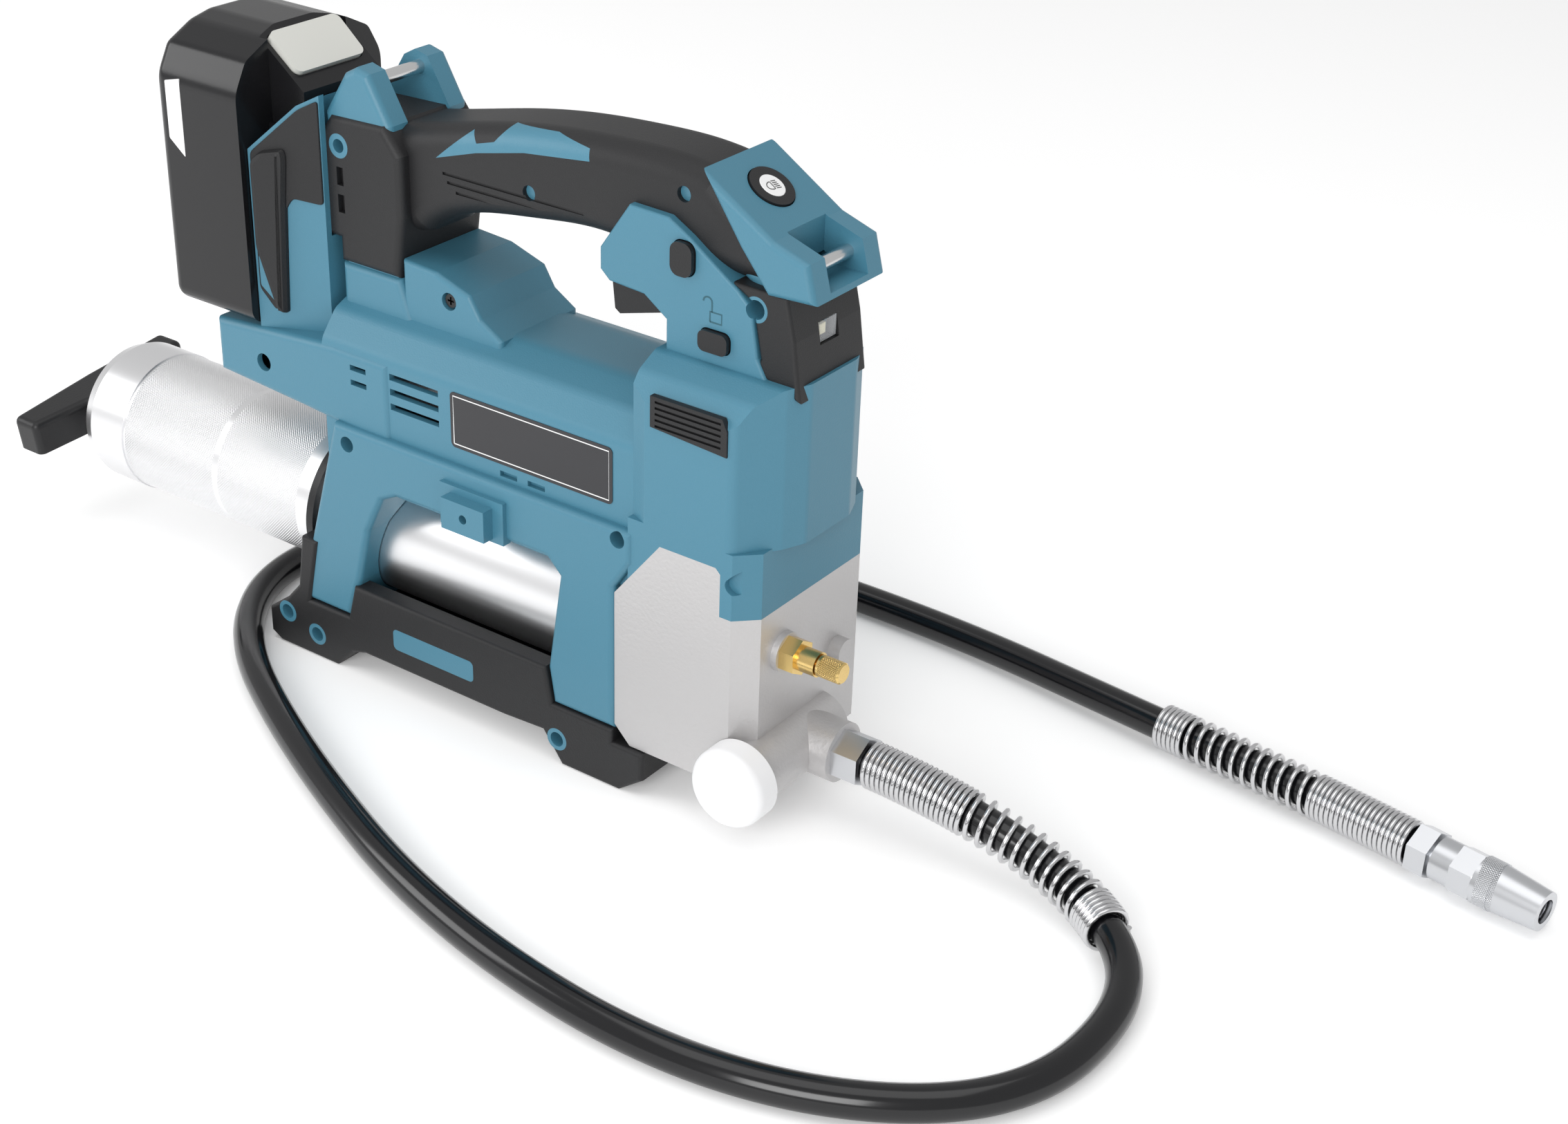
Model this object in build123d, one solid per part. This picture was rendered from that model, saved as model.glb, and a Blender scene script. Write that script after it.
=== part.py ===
from build123d import *
import os
from math import acos, atan2, cos, degrees, sin, tan, pi

os.makedirs("parts", exist_ok=True)

# Cordless grease gun, millimetres.  +X is forward (outlet end), +Z is up and the
# tool stands on its two feet at z = 0.  While it is modelled, the clamshell joint
# is the plane y = 0; the last step moves everything to the middle of its own box.

# ---------------------------------------------------------------- driving sizes
SHELL = 2.5            # wall of the plastic housing
SKIN = 2.0             # thickness of the soft overmould
FIT = 0.05             # running fit of a shaft in its hole
GAP = 0.4              # clearance round a part that moves or is let in

BARREL_R = 29.5        # grease barrel, outside radius
BARREL_WALL = 1.6
BARREL_Z = 53.5        # height of the barrel axis
BARREL_SEAM_X = -242.0  # joint between barrel tube and domed cap
BARREL_NOSE_X = 34.0   # front end of the tube, screwed into the pump head
CAP_LENGTH = 28.0
CAP_LIP = 0.5          # the cap stands proud of the tube by this much

BODY_HALF = 35.0       # half width of the motor housing
SHROUD_HALF = 39.0     # half width of the lower housing and legs
BLOCK_HALF = 38.0      # half width of the front block and pump head
POST_HALF = 21.0       # half width of handle posts and trigger shroud
GRIP_HALF = 17.5       # half width of the hand grip
REAR_HALF = 22.5       # half width of the rear block
MOUNT_HALF = 34.0      # half width of the battery mount at the battery
MOUNT_FRONT_HALF = 25.0  # and at the housing
FOOT_HALF = 40.0       # half width over the feet
BODY_TOP_Z = 154.5
SHROUD_TOP_Z = 108.0

BATTERY_DEPTH = 62.0   # along x, rail included
BATTERY_WIDTH = 75.0
BATTERY_HEIGHT = 110.0
BATTERY_REAR_X = -191.0
BATTERY_FOOT_Z = 136.0

MOTOR_R = 22.0
MOTOR_LENGTH = 66.0
MOTOR_REAR_X = -98.0
DRIVE_Z = 124.0        # height of motor and crank axis
SHAFT_R = 2.5
GEAR_MODULE = 0.9
SUN_TEETH = 12
PLANET_TEETH = 18
GEAR_WIDTH = 10.0
GEAR_CASE_R = 26.5
CRANK_THROW = 7.0
PLUNGER_R = 4.5
PLUNGER_X = 57.0

HEAD_REAR_X = 28.0
HEAD_FRONT_X = 86.5
HEAD_FOOT_Z = 20.0
OUTLET_X = 86.0
OUTLET_Y = -3.0
OUTLET_Z = 27.5
OUTLET_R = 12.0
BLEEDER_Y = -17.0
BLEEDER_Z = 70.0

ROD_R = 4.0            # follower rod
STROKE = 205.0         # travel of the follower in the barrel
HOSE_R = 6.2
GUARD_R = 9.0          # outside radius of the spring guards
GUARD_WIRE = 2.0


# ---------------------------------------------------------------- shape helpers
def outline(points, corner=0.0):
    """Closed face through the points, every corner rounded by the same radius."""
    face = Polygon(*points, align=None)
    return fillet(face.vertices(), corner) if corner else face


def rounded_at(points, radii):
    """Closed face through the points; radii gives the rounding of each corner, 0 for a sharp one."""
    face = Polygon(*points, align=None)
    for point, radius in zip(points, radii):
        if radius:
            corner = min(face.vertices(), key=lambda v: (v.X - point[0]) ** 2 + (v.Y - point[1]) ** 2)
            face = fillet(corner, radius)
    return face


def curved_face(*runs):
    """Closed face bounded by runs of points; a run of more than four points is a smooth curve."""
    edges = [Spline(*run) if len(run) > 4 else Polyline(*run) for run in runs]
    return make_face(edges)


def side_prism(face, y_out, y_in=0.0):
    """Prism of an x-z outline from y = -y_in out to y = -y_out (left side)."""
    return extrude(Plane.XZ.offset(y_in) * face, amount=y_out - y_in, dir=(0, -1, 0))


def upright(face, height):
    return extrude(face, amount=height, dir=(0, 0, 1))


def soften(solid, edge, round_edge=True):
    """Round or bevel the rim of the outermost (lowest y) face."""
    rim = solid.faces().sort_by(Axis.Y)[0].edges()
    return fillet(rim, edge) if round_edge else chamfer(rim, edge)


def mirrored(solid):
    return mirror(solid, about=Plane.XZ)


def rod_x(radius, x_from, x_to, y=0.0, z=0.0):
    """Round bar along x."""
    return Pos((x_from + x_to) / 2, y, z) * Rot(0, 90, 0) * Cylinder(radius, x_to - x_from)


def rod_y(radius, y_from, y_to, x=0.0, z=0.0):
    return Pos(x, (y_from + y_to) / 2, z) * Rot(90, 0, 0) * Cylinder(radius, y_to - y_from)


def rod_z(radius, z_from, z_to, x=0.0, y=0.0):
    return Pos(x, y, (z_from + z_to) / 2) * Cylinder(radius, z_to - z_from)


def hex_x(across, x_from, x_to, y=0.0, z=0.0):
    """Hexagonal bar along x, measured across its flats."""
    face = RegularPolygon(across / 2, 6, major_radius=False)
    return Pos(x_from, y, z) * Rot(0, 90, 0) * extrude(face, amount=x_to - x_from)


def block(x0, x1, y0, y1, z0, z1):
    return Pos((x0 + x1) / 2, (y0 + y1) / 2, (z0 + z1) / 2) * Box(x1 - x0, y1 - y0, z1 - z0)


def turned(profile, y=0.0, z=0.0):
    """Body turned about an axis along x; the profile lists (x, radius)."""
    face = Plane.XZ * Polygon(*profile, align=None)
    return Pos(0, y, z) * revolve(face, axis=Axis.X, revolution_arc=360)


# ---------------------------------------------------------------- housing halves
BORE_R = BARREL_R + GAP
EAR_INSIDE = 11.0
BLOCK_TOP_Z = 172.5
BLOCK_FRONT_X = 92.0
BAND_TOP_Z = 114.0
BAND_FOOT_Z = 88.5
HEAD_SIDE = [(HEAD_REAR_X, 27), (HEAD_REAR_X, 82), (48, 107), (72, 107), (74, 105), (74, BAND_FOOT_Z),
             (HEAD_FRONT_X, BAND_FOOT_Z), (HEAD_FRONT_X, HEAD_FOOT_Z), (35, HEAD_FOOT_Z)]
BODY_SECTION = [(0, 84), (-BODY_HALF, 84), (-BODY_HALF, 139), (-BODY_HALF + 8, 149),
                (-BODY_HALF + 21, BODY_TOP_Z), (0, BODY_TOP_Z)]
BODY_ROUNDING = [0, 0, 7, 7, 14, 0]
CRADLE = [(-170, 111), (-170, 133), (-108, 138), (-80, 138), (-80, 104), (-126, 108)]
LOWER_POST = [(-114, 130), (-114, 166), (-85, 166), (-79, 150), (-79, 130)]
POST_CORE = [(-112, 150), (-112, 212), (-108, 219), (-90, 219), (-87, 212), (-87, 150)]
SHROUD = [(-107, SHROUD_TOP_Z), (36, SHROUD_TOP_Z), (36, 96), (HEAD_REAR_X, 84), (HEAD_REAR_X, 25), (-0.5, 25),
          (-3, 40), (3, 80), (-3, 86), (-76, 86), (-84, 82), (-92, 66), (-98, 42), (-104, 25), (-127, 25), (-124, 50)]
TRIGGER_SHROUD = [(36.5, 140), (36.5, 183), (27, 189.5), (12, 190.5), (8, 194), (8, 202), (20.5, 220), (37, 219.5),
                  (46, 214.5), (66, 201), (71.5, 196), (74.5, 179), (82, 166), (82, 140)]
HANDLE_CORE = [(-90, 203), (-90, 219), (-60, 226), (-16, 232.5), (20, 234.5), (48, 234.5), (70, 217), (84, 208),
               (84, 172), (70, 172), (68, 200), (46, 214), (36, 219), (14, 217), (0, 206), (-26, 204), (-60, 201)]
NOSE = [(50, 239), (79, 221), (93, 216.5), (96.5, 203), (77.5, 202), (66, 216)]
GUSSET = [(-84, 146), (-84, 174), (-68, 173), (-52, 168), (-47, 160), (-37, 154), (-37, 146)]
TAB = (-46.5, -26, 86.5, 99)
TAB_HALF = 46.0
EAR = [(-118, 205), (-120, 222), (-109.5, 238), (-104, 241), (-98, 239.5), (-88, 222.5), (-88, 205)]


def block_plan(inset=0.0):
    """Plan of the housing's front block, left half, one wall smaller for the cavity."""
    points = [(34, 0), (34, -BODY_HALF + inset), (41, -BLOCK_HALF + inset), (78 - inset, -BLOCK_HALF + inset),
              (BLOCK_FRONT_X - 3.6 - inset, -22.5), (BLOCK_FRONT_X - inset, -13.4), (BLOCK_FRONT_X - inset, 0)]
    return rounded_at(points, [0, 0, 2, 5, 5, 5, 0])


def band_plan():
    """Plan of the lower band over the pump head, left half."""
    return Polygon((34, 0), (34, -BLOCK_HALF), (HEAD_FRONT_X - 7.5, -BLOCK_HALF),
                   (HEAD_FRONT_X, -BLOCK_HALF + 7.5), (HEAD_FRONT_X, 0), align=None)


def body_run(x0, x1, inset=0.0):
    """Motor housing between two stations, left half."""
    points = [(y + (inset if y < 0 else 0), z + (inset if z < 100 else -inset)) for y, z in BODY_SECTION]
    face = rounded_at(points, BODY_ROUNDING)
    return Pos(x0, 0, 0) * extrude(Plane.YZ * face, amount=x1 - x0, dir=(1, 0, 0))


def crown(inset=0.0):
    """Front block seen from the front: shoulders that fall away to the sides."""
    points = [(0, 80), (-60, 80), (-60, 160 - inset), (-BLOCK_HALF, 160 - inset), (-POST_HALF - 11, 168 - inset),
              (-POST_HALF - 2, BLOCK_TOP_Z - inset), (0, BLOCK_TOP_Z - inset)]
    face = rounded_at(points, [0, 0, 0, 0, 6, 6, 0])
    return Pos(30, 0, 0) * extrude(Plane.YZ * face, amount=70, dir=(1, 0, 0))


def front_block():
    upper = Pos(0, 0, BAND_TOP_Z - 1) * upright(block_plan(), BLOCK_TOP_Z - BAND_TOP_Z + 1)
    lower = Pos(0, 0, BAND_FOOT_Z) * upright(band_plan(), BAND_TOP_Z - BAND_FOOT_Z)
    return (upper & crown()) + lower


def housing_outside():
    """Outer shape of the left half, without any hole."""
    shroud = soften(side_prism(outline(SHROUD), SHROUD_HALF), 2.5)
    cradle = soften(side_prism(outline(CRADLE), BODY_HALF + 1), 3.0)
    lower_post = soften(side_prism(outline(LOWER_POST), REAR_HALF), 3.0)
    core = side_prism(outline(POST_CORE), REAR_HALF - SKIN)
    trigger_shroud = soften(side_prism(outline(TRIGGER_SHROUD), POST_HALF), 1.2)
    handle = soften(side_prism(outline(HANDLE_CORE), GRIP_HALF - SKIN), 5.0)
    nose = soften(side_prism(outline(NOSE), POST_HALF), 2.5)
    ear = soften(side_prism(outline(EAR), POST_HALF, EAR_INSIDE), 3.0)
    gusset = soften(side_prism(outline(GUSSET), REAR_HALF - 1), 2.0)
    x0, x1, z0, z1 = TAB
    tab = block(x0, x1, -TAB_HALF, -SHROUD_HALF + 2, z0, z1)
    tab += block(x0 - 5, x1 + 5, -SHROUD_HALF - 2, -SHROUD_HALF + 2, z0 - 1.5, z1 + 3)
    return (body_run(-114, 50) + shroud + cradle + lower_post + core + trigger_shroud + handle + nose + ear
            + front_block() + gusset + tab + nylon_in_grip() + foot_beam())


def foot_beam():
    """Nylon beam inside the foot rail, with the flush insert and the screw bosses that come through it."""
    inside = offset(outline(RAIL), -SHELL)
    beam = side_prism(inside, FOOT_HALF - SHELL)
    beam &= block(-150, 45, -FOOT_HALF, 1, 1, 39)
    beam -= block(-152, 45, -BARREL_R - 3 - SHELL, 1, 25 - SHELL, 60)
    beam -= rod_x(BORE_R + 1.5 + SHELL, -160, 50, 0, BARREL_Z)
    beam += side_prism(outline(RAIL_INSERT, 2), FOOT_HALF, FOOT_HALF - SHELL - 1)
    beam += [rod_y(BOSS_R, -FOOT_HALF, -FOOT_HALF + 6, x, z) for x, z in FOOT_SCREWS]
    return beam - side_prism(offset(outline(HEAD_SIDE), 0.01), BLOCK_HALF + 9, -1)


def housing_cavity():
    """Hollow of the left half: the same outlines one wall smaller."""
    def inner(points, half):
        return side_prism(offset(outline(points), -SHELL), half - SHELL, -1.0)
    hollow = body_run(-110, 40, SHELL) + inner(CRADLE, BODY_HALF + 1) + inner(LOWER_POST, REAR_HALF)
    hollow += inner(POST_CORE, REAR_HALF - SKIN) + inner(TRIGGER_SHROUD, POST_HALF)
    hollow += inner(HANDLE_CORE, GRIP_HALF - SKIN)
    hollow += (Pos(0, 0, BAND_TOP_Z) * upright(block_plan(SHELL), 70)) & crown(SHELL)
    hollow += block(40, 79.5, -BLOCK_HALF + 2 * SHELL, 1, 90, 120)
    hollow -= side_prism(offset(outline(HEAD_SIDE), SHELL), BLOCK_HALF + 3, -2)
    return hollow - rod_x(BORE_R + SHELL, -180, HEAD_REAR_X + 3, 0, BARREL_Z)


def side_bores(places, radius, depth, half):
    """Blind round holes that start at the side face, left half."""
    return [rod_y(radius, -half - 1, -half + depth, x, z) for x, z in places]


SHROUD_SCREWS = [(-100, 101), (30, 104)]
BODY_SCREWS = [(-145, 121)]
POST_SCREWS = [(73, 196)]
FOOT_SCREWS = [(-138, 15.5), (-122, 10.6), (2, 10.6)]
TAB_HOLE = [(-36, 93)]
GUSSET_SCREW = [(-61.5, 163.5)]
GROOVE = [(74, 101), (79, 106), (100, 121), (100, 112), (80, 98)]
LONG_VENTS = [(-80, 132), (-80, 126), (-80, 120)]
SHORT_VENTS = [(-99, 131), (-99, 125), (-30, 143), (-17, 143), (-27, 109.5), (-14, 109.5)]
LABEL = (-50, 25, 114.5, 136.5)
PAD = (44, 76, 150, 163.5)
RIBS_X = (-90.0, -46.0, -6.0, 24.0)
RIB = 3.0
SWITCH = (40.0, 50.5, -8.0, 8.0, 166.0, 196.0)
CONTROLLER = (44.0, 60.0, -16.0, 16.0, 145.0, 160.0)
LAMP_BOARD = (77.9, 79.5, -9.0, 9.0, 179.0, 195.0)
TRIGGER_PIN_R = 2.8


def side_slots(places, length, height, half):
    return [block(x, x + length, -half - 1, -half + 6, z, z + height) for x, z in places]


def ribs():
    """Upright ribs that carry the motor and the gear case."""
    plates = [body_run(x, x + RIB, SHELL / 2) for x in RIBS_X]
    return plates + [body_run(MOTOR_REAR_X - 9, MOTOR_REAR_X - 1.5, SHELL / 2)]


def carriers():
    """Walls that hold the switch, the controller and the lamp board."""
    x0, x1, y0, _, z0, z1 = SWITCH
    walls = [block(x0 - 1, x1 + 1, y0 - SHELL, 0, z0 - SHELL, z1 + SHELL)]
    x0, x1, y0, _, z0, z1 = CONTROLLER
    walls.append(block(x0 - SHELL, x1 + SHELL, y0 - SHELL, 0, z0 - SHELL, z0 + 3))
    x0, x1, y0, _, z0, z1 = LAMP_BOARD
    return walls + [block(x0 - 1, x1 + 1, y0 - SHELL, 0, z0 - SHELL, z1 + SHELL)]


def housed_things():
    """Everything the left half has to leave room for."""
    seats = [rod_x(MOTOR_R, MOTOR_REAR_X, MOTOR_FRONT_X, 0, DRIVE_Z),
             rod_x(GEAR_CASE_R, GEAR_X - 5, CRANK_X - 5, 0, DRIVE_Z),
             rod_x(BEARING_R, REAR_BEARING_X, REAR_BEARING_X + BEARING_WIDTH, 0, DRIVE_Z),
             rod_x(SHAFT_R + 1, MOTOR_REAR_X - 9, MOTOR_REAR_X, 0, DRIVE_Z),
             block(*SWITCH), block(*CONTROLLER), block(*LAMP_BOARD),
             rod_z(PLUNGER_R + GAP, 100, 125, PLUNGER_X)]
    slots = [block(4, SWITCH[0], -8 - GAP, 1, 172, 199),
             rod_y(TRIGGER_PIN_R + FIT, -POST_HALF + 1, 1, *TRIGGER_PIVOT),
             block(LAMP_BOARD[1] - 0.1, 99, -LENS_HALF, 1, LENS_Z - 4, LENS_Z + 4),
             lamp_button(GAP),
             strap_pin(REAR_PIN, EAR_INSIDE + 6), strap_pin(FRONT_PIN, EAR_INSIDE + 4),
             block(78, 99, -EAR_INSIDE, 1, 205, 225),
             lock_off_room()]
    return seats + slots


def housing_half(left=True):
    """One half of the clamshell; only the left one has the lock-on button and the label."""
    solid = housing_outside() - housing_cavity()
    solid += ribs()
    solid += carriers()
    solid -= housed_things()
    if left:
        solid -= lock_on_room()
    solid -= rod_x(BORE_R, -180, HEAD_REAR_X + 3, 0, BARREL_Z)
    solid -= side_prism(outline(HEAD_SIDE), BLOCK_HALF + 3, -1)
    solid -= side_bores(SHROUD_SCREWS, 3.2, 14, SHROUD_HALF)
    solid -= side_bores(BODY_SCREWS, 3.6, 12, BODY_HALF + 1)
    solid -= side_bores(POST_SCREWS, 3.4, 12, POST_HALF)
    solid -= side_bores(FOOT_SCREWS, 3.0, 12, FOOT_HALF)
    solid -= side_bores(GRIP_HOLES, 2.6, 9, REAR_HALF)
    solid -= side_bores(TAB_HOLE, 1.8, 5, TAB_HALF)
    solid -= side_bores(GUSSET_SCREW, 3.4, 3, REAR_HALF - 1)
    solid -= block(-98, -6, -FOOT_HALF + 6, 1, 14 + SHELL, 25 - 2 * SHELL)
    solid -= side_prism(outline(GROOVE, 3), BLOCK_HALF + 1, BLOCK_HALF - 2.5)
    solid -= side_slots(LONG_VENTS, 24, 2.6, BODY_HALF)
    solid -= side_slots(SHORT_VENTS, 8, 2.2, SHROUD_HALF)
    solid -= side_prism(pad_face(), BLOCK_HALF + 1, BLOCK_HALF - 1.5)
    solid -= screw_holes()
    return max(solid.solids(), key=lambda piece: piece.volume)


# ---------------------------------------------------------------- soft overmould
GRIP_TOP = [(-92, 221.5), (-66, 227), (-45, 231.6), (-16, 236), (12, 238), (38, 238), (52, 236)]
GRIP_FRONT = [(52, 236), (72, 219), (80, 202), (8, 202.9)]
GRIP_UNDER = [(8, 202.9), (-10, 202.6), (-27, 200.4), (-46, 197.6), (-62, 193.5), (-77, 184)]
GRIP_REAR = [(-77, 184), (-92, 180), (-92, 221.5)]
INSERT = [(-69, 215), (-53.4, 228), (-50, 224.3), (-42, 226.6), (-37, 233), (-16, 235), (0, 233.5), (1, 229.5), (-28, 226),
          (-50, 221)]
REAR_BLOCK = [(-123, 175), (-123, 213), (-116, 222), (-90, 223), (-82, 213), (-82, 190), (-85.4, 166), (-114.5, 166),
              (-114.5, 175)]
GRIP_GROOVES = [(-66, -2, 209.5), (-64, -2, 206.5), (-60, -4, 203.5)]
BOSS_R = 4.6
FRONT_PANEL = [(62, 203), (85, 203), (88.5, 188), (91.5, 167), (72, 174), (75, 179), (71, 198)]
GRIP_HOLES = [(-112, 211)]
GRIP_ROUND = 9.0
GRIP_SCREWS = [(-26, 212), (41, 227.5)]
LENS_HALF = 5.5
LENS_Z = 187.0
RAIL = [(-127.5, 53), (-119, 53), (-125, 25), (-104, 25), (-100, 40), (-3.5, 40), (-0.5, 25), (HEAD_REAR_X, 25),
        (HEAD_REAR_X, 19.5), (42, 19.5), (42, 8), (31, 0), (4, 0), (-5, 12), (-24, 11), (-96, 11),
        (-103, 9), (-112, 0), (-143, 0), (-148.5, 3), (-148.5, 14), (-138, 22), (-131, 30)]
RAIL_INSERT = [(-80, 19.5), (-80, 28.5), (-39, 28.5), (-39, 19.5)]


def grip_outside():
    """Outer shape of the soft skin: handle, rear block and lamp panel, left half."""
    face = curved_face(GRIP_TOP, GRIP_FRONT, GRIP_UNDER, GRIP_REAR)
    handle = soften(side_prism(face, GRIP_HALF), GRIP_ROUND)
    rear = soften(side_prism(outline(REAR_BLOCK), REAR_HALF), 3.0)
    panel = soften(side_prism(outline(FRONT_PANEL), POST_HALF - 1), 1.5)
    return handle, rear + panel


def nylon_in_grip():
    """Places where the nylon comes through the skin, flush with it: the notched insert and a screw boss."""
    handle, blocks = grip_outside()
    insert = handle & side_prism(outline(INSERT), GRIP_HALF + 1, GRIP_HALF - 8)
    boss = blocks & rod_y(BOSS_R, -REAR_HALF - 1, -REAR_HALF + 8, *GRIP_HOLES[0])
    front_boss = blocks & rod_y(BOSS_R, -POST_HALF - 1, -POST_HALF + 8, *POST_SCREWS[0])
    return insert + boss + front_boss


def grip_half():
    """Rubber skin over the handle, the rear block and the lamp panel, left half."""
    handle, blocks = grip_outside()
    skin = handle + blocks
    skin -= housing_outside()
    skin -= housing_cavity()
    skin -= block(-112, -87, -REAR_HALF + SKIN, 1, 150, 219)
    skin -= side_bores(GRIP_HOLES[:1], 2.6, 9, REAR_HALF)
    for x0, x1, z in GRIP_GROOVES:
        skin -= block(x0, x1, -GRIP_HALF - 1, -GRIP_HALF + 0.7, z, z + 1.1)
    for z in (199.5, 189):
        skin -= block(-113.6, -110.4, -REAR_HALF - 1, -REAR_HALF + 2.5, z - 3.5, z + 3.5)
    skin -= side_bores(GRIP_SCREWS, 2.8, 4, GRIP_HALF)
    skin -= block(60, 99, -LENS_HALF, 1, LENS_Z - 4, LENS_Z + 4)
    skin -= lamp_button(GAP)
    return max(skin.solids(), key=lambda piece: piece.volume)


def rail_half():
    """Black foot rail: two feet and the bar that joins them, left half."""
    shape = soften(side_prism(outline(RAIL), FOOT_HALF), 1.5)
    shape -= block(-152, 45, -BARREL_R - 3, 1, 25, 60)
    shape -= rod_x(BORE_R + 1.5, -160, 50, 0, BARREL_Z)
    shape -= rod_x(BARREL_R + 4, -131, -127.5, 0, BARREL_Z)
    shape -= screw_holes() + side_bores(FOOT_SCREWS, 2.6 + 2 * GAP, 12, FOOT_HALF)
    shape -= housing_outside()
    shape -= side_prism(outline(HEAD_SIDE), BLOCK_HALF + 9, -1)
    return max(shape.solids(), key=lambda piece: piece.volume)


def pad_face():
    x0, x1, z0, z1 = PAD
    return outline([(x0, z0 + 2), (x0, z1), (x1 - 2, z1), (x1, z1 - 4), (x1, z0)])


def side_pad():
    """Ribbed rubber pad let into the side of the front block."""
    x0, x1, z0, z1 = PAD
    pad = side_prism(pad_face(), BLOCK_HALF + 0.8, BLOCK_HALF - 1.5)
    for groove in range(5):
        z = z0 + 2.4 + 2.2 * groove
        pad -= block(x0 + 2, x1 - 2.5, -BLOCK_HALF - 2, -BLOCK_HALF + 0.2, z, z + 0.9)
    return pad


def name_label():
    x0, x1, z0, z1 = LABEL
    return side_prism(outline([(x0, z0), (x0, z1), (x1, z1), (x1, z0)], 2), BODY_HALF + 0.3, BODY_HALF)


# ---------------------------------------------------------------- housing screws and strap pins
STRAP_PIN_R = 2.5
REAR_PIN = (-102, 235)
FRONT_PIN = (87.5, 211)


def pan_screw(x, z, y_head, radius=2.6, length=5.0):
    """Cross-recess screw driven in from the left side."""
    head = rod_y(radius, y_head, y_head + 2.0, x, z)
    shank = rod_y(radius * 0.55, y_head + 2.0, y_head + 2.0 + length, x, z)
    arm = radius * 0.6
    cross = block(x - arm, x + arm, y_head - 0.1, y_head + 1.0, z - 0.4, z + 0.4)
    cross += block(x - 0.4, x + 0.4, y_head - 0.1, y_head + 1.0, z - arm, z + arm)
    return head + shank - cross


def screw_places():
    """Head centre (x, z) and the depth of the face each screw head sits on."""
    places = [(x, z, SHROUD_HALF - 14) for x, z in SHROUD_SCREWS]
    places += [(x, z, BODY_HALF + 1 - 12) for x, z in BODY_SCREWS]
    places += [(x, z, FOOT_HALF - 12) for x, z in FOOT_SCREWS]
    places += [(x, z, REAR_HALF - 4) for x, z in GUSSET_SCREW]
    return places + [(x, z, POST_HALF - 12) for x, z in POST_SCREWS]


def housing_screws():
    """Screws whose heads stand on the floor of the counterbored holes."""
    return [pan_screw(x, z, -face - 2.0) for x, z, face in screw_places()]


def screw_holes():
    return [rod_y(2.6 * 0.55, -face - 1, -face + 5.0, x, z) for x, z, face in screw_places()]


def strap_pin(place, half):
    x, z = place
    return rod_y(STRAP_PIN_R, -half, half, x, z)


# ---------------------------------------------------------------- battery and its mount
BATTERY_HALF = BATTERY_WIDTH / 2
BATTERY_TOP_Z = BATTERY_FOOT_Z + BATTERY_HEIGHT
SPLIT_X = BATTERY_REAR_X + 32.5
COVER_X = BATTERY_REAR_X + 43.5
RAIL_X = BATTERY_REAR_X + BATTERY_DEPTH
RAIL_HALF = 22.0
LATCH_HALF = 20.0
LATCH_FOOT_Z = 212.0
PAD_TURN = 40.0
MOUNT_FRONT_X = -118.0


def battery_body():
    """Outer body of the battery without rails and latch housing."""
    half, top = BATTERY_HALF, BATTERY_TOP_Z
    arch = [(-half, top - 20), (-half + 6, top - 9), (-half + 18, top - 3), (-10, top - 1)]
    other = [(-y, z) for y, z in reversed(arch)]
    points = [(-half, BATTERY_FOOT_Z), *arch, *other, (half, BATTERY_FOOT_Z)]
    section = Plane.YZ * rounded_at(points, [6, 14, 6, 14, 14, 14, 14, 6, 14, 6])
    body = Pos(BATTERY_REAR_X, 0, 0) * extrude(section, amount=COVER_X - BATTERY_REAR_X, dir=(1, 0, 0))
    return fillet(body.faces().sort_by(Axis.X)[0].edges(), 5.0)


def slope_cut():
    """Wedge above the sloping face that carries the release button."""
    face = outline([(-156, BATTERY_TOP_Z + 2), (-156, BATTERY_TOP_Z), (-130, 226), (-120, 226), (-120, 250)])
    return side_prism(face, LATCH_HALF + 0.01, -LATCH_HALF - 0.01)


def release_pad(extra=0.0, sink=0.0):
    """Release button: a rounded pad on the sloping face."""
    pad = Box(19 + 2 * extra, 35 + 2 * extra, 5 + sink)
    pad = fillet(pad.edges().filter_by(Axis.Z), 3 + extra)
    return Pos(-143.5, 0, 237.0) * Rot(0, PAD_TURN, 0) * Pos(0, 0, -sink / 2 - 0.8) * pad


def battery_lower_case():
    case = battery_body() & block(BATTERY_REAR_X - 1, SPLIT_X, -60, 60, 100, 300)
    return case - block(BATTERY_REAR_X + SHELL, SPLIT_X + 1, -BATTERY_HALF + SHELL, BATTERY_HALF - SHELL,
                        BATTERY_FOOT_Z + SHELL, BATTERY_TOP_Z - 22)


def battery_upper_case():
    """Front shell of the battery with its rails and the latch housing."""
    case = battery_body() & block(SPLIT_X, COVER_X, -60, 60, 100, 300)
    case += block(COVER_X - 1, -130.5, -LATCH_HALF, LATCH_HALF, LATCH_FOOT_Z, 240)
    case -= slope_cut()
    case += block(COVER_X - 1, RAIL_X, -RAIL_HALF, RAIL_HALF, BATTERY_FOOT_Z + 4, LATCH_FOOT_Z)
    case -= block(SPLIT_X - 1, COVER_X - SHELL, -BATTERY_HALF + SHELL, BATTERY_HALF - SHELL,
                  BATTERY_FOOT_Z + SHELL, BATTERY_TOP_Z - 22)
    for side in (-1, 1):
        edge = side * RAIL_HALF
        case -= block(COVER_X + 4, COVER_X + 9, min(edge, edge - 4 * side), max(edge, edge - 4 * side),
                      BATTERY_FOOT_Z - 1, LATCH_FOOT_Z - 4)
    for slot in (-9, 0, 9):
        case -= block(COVER_X + 3, RAIL_X + 1, slot - 1.2, slot + 1.2, BATTERY_FOOT_Z - 1, BATTERY_FOOT_Z + 34)
    return case - release_pad(GAP, 2.6)


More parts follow.
